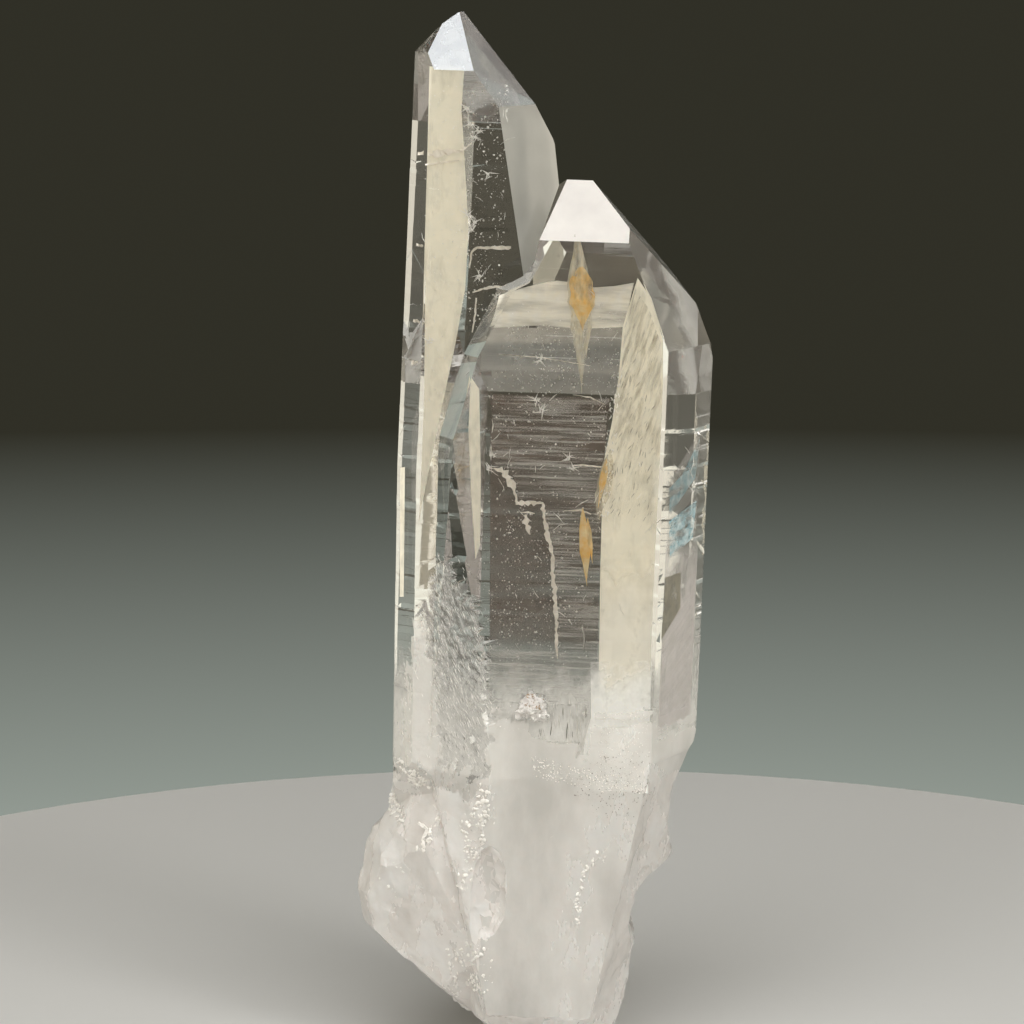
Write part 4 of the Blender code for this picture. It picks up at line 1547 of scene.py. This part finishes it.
class FlakeTree:
    """Geometry Nodes that scatter small flakes over a sheet and into the stone behind it."""

    def __init__(self) -> None:
        """Builds the tree with its named inputs."""
        self.tree = bpy.data.node_groups.new("flake_scatter", "GeometryNodeTree")
        face = self.tree.interface
        face.new_socket("Sheet", in_out="INPUT", socket_type="NodeSocketGeometry")
        for label, kind in (
            ("Density", "Float"), ("Smallest", "Float"), ("Largest", "Float"), ("Stretch", "Vector"),
            ("Tumble", "Float"), ("Lean", "Float"), ("Depth", "Float"), ("Seed", "Int"),
            ("Finish", "Material"),
        ):
            face.new_socket(label, in_out="INPUT", socket_type=f"NodeSocket{kind}")
        face.new_socket("Flakes", in_out="OUTPUT", socket_type="NodeSocketGeometry")
        graph = Graph(self.tree)
        source = graph.node("NodeGroupInput").outputs
        points = graph.node(
            "GeometryNodeDistributePointsOnFaces",
            {"Mesh": source["Sheet"], "Density": source["Density"], "Seed": source["Seed"]},
        )
        deep = graph.node("ShaderNodeCombineXYZ", {"Y": source["Depth"]})
        offset = graph.node(
            "FunctionNodeRandomValue", {0: (0.0, 0.0, 0.0), 1: deep.outputs[0], "Seed": source["Seed"]},
            data_type="FLOAT_VECTOR",
        )
        sunk = graph.node(
            "GeometryNodeSetPosition", {"Geometry": points.outputs["Points"], "Offset": offset.outputs[0]}
        )
        turn = graph.node(
            "FunctionNodeRandomValue",
            {0: (-math.pi,) * 3, 1: (math.pi,) * 3, "Seed": graph.math("ADD", source["Seed"], 1)},
            data_type="FLOAT_VECTOR",
        )
        loose = graph.node(
            "ShaderNodeVectorMath", {0: turn.outputs[0], "Scale": source["Tumble"]}, operation="SCALE"
        )
        leaning = graph.node("ShaderNodeCombineXYZ", {"Y": source["Lean"]})
        tumbled = graph.node(
            "ShaderNodeVectorMath", {0: loose.outputs[0], 1: leaning.outputs[0]}, operation="ADD"
        )
        chance = graph.node(
            "FunctionNodeRandomValue", {2: 0.0, 3: 1.0, "Seed": graph.math("ADD", source["Seed"], 2)},
            data_type="FLOAT",
        )
        small = graph.math("POWER", chance.outputs[1], 3.0)
        size = graph.node("ShaderNodeMapRange", {0: small, 3: source["Smallest"], 4: source["Largest"]})
        flake = graph.node("GeometryNodeMeshIcoSphere", {"Radius": 1.0, "Subdivisions": 1})
        drawn = graph.node(
            "GeometryNodeTransform", {"Geometry": flake.outputs["Mesh"], "Scale": source["Stretch"]}
        )
        placed = graph.node(
            "GeometryNodeInstanceOnPoints",
            {"Points": sunk.outputs[0], "Instance": drawn.outputs[0], "Rotation": tumbled.outputs[0],
             "Scale": size.outputs[0]},
        )
        real = graph.node("GeometryNodeRealizeInstances", {"Geometry": placed.outputs[0]})
        dressed = graph.node(
            "GeometryNodeSetMaterial", {"Geometry": real.outputs[0], "Material": source["Finish"]}
        )
        graph.node("NodeGroupOutput", {0: dressed.outputs[0]})

    def scatter(self, name: str, sheet: bmesh.types.BMesh, inputs: dict[str, object]) -> bpy.types.Object:
        """Scatters flakes over a sheet and turns the result into a plain mesh.

        Args:
            name: the piece's name.
            sheet: the sheet in the stone's frame, which is freed.
            inputs: a value for each of the tree's inputs but Sheet.

        Returns:
            The finished object.
        """
        mesh = bpy.data.meshes.new(name)
        sheet.to_mesh(mesh)
        sheet.free()
        piece = bpy.data.objects.new(name, mesh)
        bpy.context.collection.objects.link(piece)
        step = piece.modifiers.new("flakes", "NODES")
        step.node_group = self.tree
        for socket in self.tree.interface.items_tree:
            if socket.in_out == "INPUT" and socket.name in inputs:
                step[socket.identifier] = inputs[socket.name]
        evaluated = piece.evaluated_get(bpy.context.evaluated_depsgraph_get())
        plain = bpy.data.meshes.new_from_object(evaluated)
        piece.modifiers.remove(step)
        piece.data = plain
        plain.transform(TO_WORLD)
        return piece


@dataclass(frozen=True)
class FlakeField:
    """Flakes in one part of the stone, scattered from an upright sheet or over its skin."""

    name: str
    corners: Sequence[tuple[float, float]]  # the field's outline as (x, z)
    y: float | None  # where the sheet stands, or None for the skin
    density: float
    sizes: tuple[float, float]
    stretch: Point = (1.0, 0.35, 1.0)
    tumble: float = 1.0
    lean: float = 0.0  # degrees that every flake leans to the right
    depth: float = 4.0
    finish: Inner = Inner.FEATHER

    def build(
        self, tree: FlakeTree, front: SkinFront, finishes: dict[Inner, bpy.types.Material], seed: int
    ) -> bpy.types.Object:
        """Scatters the field.

        Args:
            tree: the scattering nodes.
            front: the skin's front, for a field on the skin.
            finishes: the finish of each kind of inclusion.
            seed: what its chance values start from.

        Returns:
            The finished object.
        """
        if self.y is None:
            sheet = front.patch(self.corners)
        else:
            sheet = bmesh.new()
            sheet.faces.new([sheet.verts.new((x, self.y, z)) for x, z in self.corners])
        return tree.scatter(self.name, sheet, {
            "Density": self.density, "Smallest": self.sizes[0], "Largest": self.sizes[1],
            "Stretch": self.stretch, "Tumble": self.tumble, "Lean": math.radians(self.lean),
            "Depth": self.depth, "Seed": seed, "Finish": finishes[self.finish],
        })


def bruise(name: str, density: float, *corners: tuple[float, float]) -> FlakeField:
    """A patch of the root's surface that is crushed to white sugary grains.

    Args:
        name: the piece's name.
        density: grains for a square millimetre.
        corners: its outline as (x, z).

    Returns:
        The field.
    """
    return FlakeField(name, corners, None, density, (0.05, 0.42), (1.0, 0.6, 1.4), depth=0.15)


FLAKE_FIELDS: Sequence[FlakeField] = (
    FlakeField("window_flecks", ((-13, 63), (4, 63), (3.5, 94), (5.5, 106), (-14, 106)), -20.2, 1.3,
               (0.03, 0.2)),
    FlakeField("stair_flecks", ((-13, 68), (-2.5, 66), (-3, 80), (-9, 92)), -20.2, 3.6, (0.03, 0.16)),
    FlakeField("haze_flecks", ((-13, 106), (5.5, 106), (7, 116), (-10, 119)), -20.1, 4.0, (0.03, 0.14)),
    FlakeField("tall_window_flecks", ((-19, 114), (-12, 114), (-12, 150), (-18, 150)), -16.7, 3.0,
               (0.03, 0.22)),
    FlakeField("tall_band_flecks", ((-24, 100), (-19, 100), (-17, 150), (-24, 150)), -16.9, 1.6,
               (0.03, 0.14), depth=0.3),
    FlakeField("sugar_patch", ((4.4, 46), (8.0, 44.8), (12.6, 46), (12.4, 56.5), (9.0, 58.6), (5.2, 57.0)),
               None, 8.0, (0.02, 0.13), (1.0, 0.6, 1.0), depth=0.05),
    FlakeField("sugar_shades", ((1, 44), (5, 41), (10, 40), (13, 43), (12.6, 52), (6, 50), (2, 48)), None,
               7.0, (0.02, 0.13), (1.0, 0.6, 1.0), depth=0.06, finish=Inner.SHADE),
    FlakeField("milk_line_flecks", ((-4.8, 46.5), (4, 44.8), (12, 44.5), (12, 47.0), (3, 48), (-5, 49.5)),
               None, 16.0, (0.03, 0.18), (1.0, 0.7, 1.0), depth=0.08),
    FlakeField("milk_edge_flecks", ((-12, 53.5), (-5.4, 53.5), (-5.4, 57.5), (-12, 58.5)), None, 5.0,
               (0.03, 0.15), depth=0.08),
    FlakeField("brush_needles", ((-4.8, 47.6), (3.7, 47.6), (3.4, 57.9), (-4.6, 57.9)), -20.6, 5.0,
               (0.15, 0.8), (0.12, 0.12, 1.9), 0.03, depth=1.0),
    FlakeField("brush_shades", ((-4.4, 50.6), (3.5, 50.6), (3.0, 57.0), (-4.4, 57.0)), -20.65, 1.2,
               (0.15, 0.6), (0.14, 0.12, 1.9), 0.03, depth=0.8, finish=Inner.SHADE),
    # dark scratch flakes: painted shade that breaks the painted cream reflection
    FlakeField("band_scratches", ((4.8, 88), (11.5, 84), (12, 100), (10, 112), (7.5, 119), (5.6, 100)),
               -20.6, 1.5, (0.06, 0.40), (0.14, 0.1, 1.7), 0.12, 22.0, 0.1, Inner.SHADE),
    FlakeField("cream_edge_flecks", ((3.2, 84), (4.8, 84), (6.2, 108), (4.8, 108)), -20.6, 6.0,
               (0.04, 0.34), (0.35, 0.3, 1.3), 0.3, depth=0.1),
    # white flakes are painted glints and dark flakes painted shade, standing in for the etched flank's
    # sparkle
    FlakeField("etched_glints", ETCHED_FLANK, None, 9.0, (0.04, 0.40), (0.16, 0.2, 1.6), 0.05, -27.0, 0.1),
    FlakeField("etched_shades", ETCHED_FLANK, None, 1.8, (0.04, 0.34), (0.14, 0.2, 1.5), 0.05, -27.0, 0.1,
               Inner.SHADE),
    # more white flakes of painted glint round the etched flank
    FlakeField("etched_fringe_painted_glints", (
        (-19.6, 82.0), (-22.0, 75.0), (-24.6, 64.0), (-25.4, 50.0), (-23.0, 43.5), (-12.0, 42.0),
        (-10.6, 50.0), (-11.0, 60.0), (-12.4, 70.0), (-15.5, 79.0)), None, 1.8, (0.04, 0.34),
        (0.16, 0.2, 1.6), 0.06, -27.0, 0.1),
    FlakeField("knob_dirt", ((-6.6, 57.4), (-3.6, 57.4), (-3.8, 59.4), (-6.2, 59.4)), None, 8.0,
               (0.05, 0.3), depth=0.1, finish=Inner.DIRT),
    bruise("bruise_shoulder", 9.0, (-24.2, 45.4), (-22.6, 45.9), (-20.6, 44.0), (-20.4, 42.8),
           (-23.6, 43.4)),
    bruise("bruise_hollow", 6.0, (-27.0, 40.4), (-26.0, 41.0), (-25.2, 38.6), (-24.0, 38.2), (-24.2, 36.6),
           (-26.8, 36.8)),
    bruise("bruise_streak", 9.0, (-19.2, 38.4), (-18.6, 38.6), (-19.6, 35.6), (-21.0, 33.2), (-22.2, 33.0),
           (-21.4, 35.0)),
    bruise("bruise_shard", 6.0, (-13.0, 45.2), (-11.4, 43.4), (-11.4, 38.2), (-12.8, 32.4), (-14.6, 26.6),
           (-15.6, 28.4), (-14.8, 35.8), (-16.2, 37.6), (-14.2, 40.2)),
    bruise("bruise_scrape", 5.0, (-25.8, 30.4), (-25.0, 30.6), (-23.2, 28.2), (-23.4, 27.2)),
    bruise("bruise_scratch", 4.0, (-28.0, 27.2), (-27.4, 27.6), (-24.2, 24.6), (-24.6, 24.0)),
    bruise("bruise_corner", 7.0, (-25.6, 46.6), (-24.4, 47.2), (-23.6, 45.6), (-24.8, 45.2)),
    bruise("bruise_crack", 12.0, (6.8, 35.8), (5.0, 33.6), (3.4, 30.4), (2.9, 27.0), (3.2, 23.4),
           (2.6, 23.4), (2.2, 27.2), (2.7, 30.6), (4.3, 34.0), (6.4, 36.2)),
    bruise("bruise_dot", 5.0, (5.6, 34.2), (7.0, 34.8), (7.4, 33.2), (6.2, 32.8)),
    bruise("bruise_foot", 1.6, (-17.6, 19.0), (-10.4, 20.4), (-9.6, 13.4), (-13.0, 10.6), (-15.6, 11.4)),
)


@dataclass
class MilkDeck:
    """The top of the milk inside the broad crystal, which its back tip face mirrors to the front.

    Its painted bands, dark ones painted shade and cream ones painted light, stand in for what the back tip
    face mirrors;
    they run from front to back, and the mirror image stacks them below the top edge.
    """

    outline: Sequence[tuple[float, float]] = (
        (-9.0, -18.6), (11.0, -18.6), (17.2, -8.2), (5.6, 10.6), (-11.8, 10.6), (-16.0, 3.0),
        (-14.4, -12.0),
    )
    height: float = 51.6
    reach: int = 24  # cells from the middle that hold the whole outline
    swell: float = 1.6
    cell: float = 1.0
    thickness: float = 0.35
    streak_size: float = 2.0
    # painted bands: dark ones are painted shade and cream ones painted light, the tones that the back tip
    # face mirrors
    painted_bands: Sequence[tuple[float, Colour]] = (
        (-16.0, (0.42, 0.39, 0.33)), (-9.4, (0.28, 0.255, 0.21)), (-8.9, (0.99, 0.95, 0.84)),
        (-3.4, (0.99, 0.95, 0.85)), (-2.6, (0.50, 0.51, 0.48)), (1.0, (0.62, 0.62, 0.58)),
        (2.2, (0.90, 0.87, 0.80)), (3.0, (0.48, 0.48, 0.45)), (8.0, (0.66, 0.63, 0.56)),
    )

    def build(self, effects: Effects) -> bpy.types.Object:
        """Builds the deck.

        Args:
            effects: the shared node groups.

        Returns:
            The finished object.
        """
        bm = bmesh.new()
        points: dict[tuple[int, int], bmesh.types.BMVert] = {}
        steps = range(-self.reach, self.reach + 1)
        for i in steps:
            for j in steps:
                x, y = i * self.cell, j * self.cell
                if inside(self.outline, x, y):
                    z = self.height + self.swell * noise.noise(Vector((x * 0.11, y * 0.11, 3.0)))
                    points[i, j] = bm.verts.new((x, y, z))
        for (i, j), vert in list(points.items()):
            others = [points.get(key) for key in ((i + 1, j), (i + 1, j + 1), (i, j + 1))]
            if all(others):
                bm.faces.new((vert, *others))
        loose = [vert for vert in bm.verts if not vert.link_faces]
        bmesh.ops.delete(bm, geom=loose, context="VERTS")
        bmesh.ops.recalc_face_normals(bm, faces=bm.faces)
        bmesh.ops.solidify(bm, geom=bm.faces[:], thickness=self.thickness)
        return stone_piece("milk_deck", bm, self.build_material(effects))

    def build_material(self, effects: Effects) -> bpy.types.Material:
        """Builds the deck's finish, with painted bands of shade and light from front to back."""
        material = bpy.data.materials.new("milk_with_painted_bands")
        material.use_nodes = True
        graph = Graph(material.node_tree)
        shader = graph.tree.nodes["Principled BSDF"]
        shader.inputs["IOR"].default_value = QUARTZ_IOR
        place = stone_place(graph)
        apart = graph.node("ShaderNodeSeparateXYZ", {0: place})
        wander = graph.node("ShaderNodeTexNoise", {"Vector": place, "Scale": 0.12, "Detail": 2.0})
        across = graph.math("ADD", apart.outputs[1], graph.math("MULTIPLY", wander.outputs[0], 1.2))
        low, high = self.painted_bands[0][0], self.painted_bands[-1][0]
        share = graph.ramp(across, low, high)
        ramp = graph.node("ShaderNodeValToRGB", {0: share})
        stops = ramp.color_ramp.elements
        while len(stops) < len(self.painted_bands):
            stops.new(0.5)
        for stop, (y, _) in zip(stops, self.painted_bands):
            stop.position = (y - low) / (high - low)
        for stop, (_, tint) in zip(stops, self.painted_bands):  # once all stops are in order
            stop.color = (*tint, 1.0)
        clouds = graph.node(
            "ShaderNodeGroup",
            {"Place": graph.scaled(place, (0.25, 2.0, 1.0)), "Size mm": self.streak_size},
            node_tree=effects.clouds,
        )
        darker = graph.node("ShaderNodeHueSaturation", {"Value": 0.82, "Color": ramp.outputs[0]})
        colour = graph.blend(clouds.outputs["Mask"], ramp.outputs[0], darker.outputs[0])
        graph.tree.links.new(colour, shader.inputs["Base Color"])
        shader.inputs["Roughness"].default_value = 0.6
        return material


# Light, floor and camera


@dataclass(frozen=True)
class Softbox:
    """A soft rectangular light that the camera itself doesn't see."""

    name: str
    place: Point
    size: tuple[float, float]
    brightness: float
    tint: Colour = (1.0, 1.0, 1.0)
    aim: Point = (0.0, 0.0, 0.08)

    def build(self) -> None:
        """Adds the light, its power worked out from how bright its face is."""
        light = bpy.data.lights.new(self.name, "AREA")
        light.shape = "RECTANGLE"
        light.size, light.size_y = self.size
        light.energy = self.brightness * math.pi * self.size[0] * self.size[1]
        light.color = self.tint
        lamp = bpy.data.objects.new(self.name, light)
        bpy.context.collection.objects.link(lamp)
        lamp.location = self.place
        lamp.rotation_euler = (Vector(self.aim) - Vector(self.place)).to_track_quat("-Z", "Y").to_euler()
        lamp.visible_camera = False


@dataclass
class Studio:
    """A pale floor, a dark room and soft lights."""

    floor_radius: float = 0.17
    floor_corners: int = 96
    floor_drop: float = 0.0002  # how far the floor lies under the foot
    floor_tint: Colour = (0.72, 0.72, 0.71)
    room_tint: Colour = (0.030, 0.029, 0.020)
    low_room_tint: Colour = (0.30, 0.335, 0.30)
    room_fade: tuple[float, float] = (-0.15, -0.26)  # sine of the angle below level where the room pales
    softboxes: Sequence[Softbox] = (
        Softbox("softbox_top", (0.0, -0.38, 0.62), (0.8, 0.6), 3.0, (1.0, 0.985, 0.95)),
        Softbox("softbox_left", (-0.5, -0.6, 0.45), (0.4, 0.5), 1.1, (1.0, 0.97, 0.90)),
        Softbox("softbox_right", (0.42, -0.42, 0.5), (0.16, 0.16), 12.0, (1.0, 0.97, 0.92)),
        Softbox("wall_front", (0.0, -1.3, -0.10), (1.7, 1.1), 0.62, (1.0, 0.88, 0.70)),
        Softbox("wall_left", (-0.66, 0.08, 0.02), (1.35, 0.7), 0.72, (1.0, 0.93, 0.78), (0, 0.08, 0.02)),
        Softbox("wall_right", (0.66, 0.25, 0.02), (0.9, 0.7), 0.68, (1.0, 0.93, 0.78), (0, 0.25, 0.02)),
    )

    def build(self) -> None:
        """Adds floor, room and lights, and sets how light is traced through the stone."""
        self.build_floor()
        self.build_room()
        for softbox in self.softboxes:
            softbox.build()
        self.set_tracing()

    def build_floor(self) -> None:
        """Adds the round pale floor."""
        radius, corners = self.floor_radius, self.floor_corners
        turns = [2 * math.pi * i / corners for i in range(corners)]
        ring = [(radius * math.cos(t), radius * math.sin(t), -self.floor_drop) for t in turns]
        mesh = bpy.data.meshes.new("floor")
        mesh.from_pydata(ring, [], [list(range(corners))])
        floor = bpy.data.objects.new("floor", mesh)
        bpy.context.collection.objects.link(floor)
        paint = bpy.data.materials.new("floor_paint")
        paint.use_nodes = True
        shader = paint.node_tree.nodes["Principled BSDF"]
        shader.inputs["Base Color"].default_value = (*self.floor_tint, 1.0)
        shader.inputs["Roughness"].default_value = 0.7
        mesh.materials.append(paint)

    def build_room(self) -> None:
        """Adds the room's even light, dark above and paler below."""
        world = bpy.data.worlds.new("dark_room")
        world.use_nodes = True
        graph = Graph(world.node_tree)
        toward = graph.node("ShaderNodeTexCoord")
        apart = graph.node("ShaderNodeSeparateXYZ", {0: toward.outputs["Generated"]})
        share = graph.ramp(apart.outputs[2], *self.room_fade)
        tint = graph.blend(share, (*self.room_tint, 1.0), (*self.low_room_tint, 1.0))
        graph.tree.links.new(tint, graph.tree.nodes["Background"].inputs["Color"])
        bpy.context.scene.world = world

    @staticmethod
    def set_tracing() -> None:
        """Lets light pass through many surfaces, and shows its plain values."""
        scene = bpy.context.scene
        scene.cycles.max_bounces = 16
        scene.cycles.transmission_bounces = 16
        scene.cycles.glossy_bounces = 10
        scene.cycles.transparent_max_bounces = 24
        scene.view_settings.view_transform = "Standard"


@dataclass(frozen=True)
class PhotoCamera:
    """The camera, level with the stone's middle and looking ten degrees down."""

    target: Point = (-0.006355, 0.0, 0.0836)
    distance: float = 0.55
    elevation: float = 10.0
    focal_pixels: float = 3548.0
    frame_pixels: float = 1024.0
    sensor: float = 36.0

    def build(self) -> None:
        """Adds the camera and makes it the scene's."""
        data = bpy.data.cameras.new("camera")
        data.sensor_width = self.sensor
        data.lens = self.focal_pixels / self.frame_pixels * self.sensor
        camera = bpy.data.objects.new("camera", data)
        bpy.context.collection.objects.link(camera)
        rise = math.radians(self.elevation)
        offset = Vector((0.0, -math.cos(rise), math.sin(rise))) * self.distance
        camera.location = Vector(self.target) + offset
        camera.rotation_euler = (math.radians(90.0 - self.elevation), 0.0, 0.0)
        bpy.context.scene.camera = camera


def ride_stone(piece: bpy.types.Object) -> None:
    """Makes a piece part of the stone."""
    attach(piece, "root")


def main() -> None:
    """Builds the camera, the studio and the stone in order."""
    logging.basicConfig(level=logging.INFO, format="%(name)s: %(message)s")
    noise.seed_set(NOISE_SEED)
    PhotoCamera().build()
    Studio().build()
    effects = Effects()
    skin = StoneSkin().build(effects)
    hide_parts(STONE_NODE)
    pieces = [skin, *Cracks().build(effects), *IronStains().build(effects), FeatherStars().build(effects)]
    pieces.append(MilkDeck().build(effects))
    pieces += [veil.build(effects) for veil in VEILS]
    pieces.append(Mist().build(skin, effects))
    tree = FlakeTree()
    front = SkinFront(skin)
    kinds = dict.fromkeys(flakes.finish for flakes in FLAKE_FIELDS)
    finishes = {kind: kind.value.build(effects) for kind in kinds}
    for seed, flakes in enumerate(FLAKE_FIELDS, start=1):
        pieces.append(flakes.build(tree, front, finishes, seed))
    for piece in pieces:
        ride_stone(piece)
        log.info("%s: %d faces", piece.name, len(piece.data.polygons))


if __name__ == "__main__":
    main()
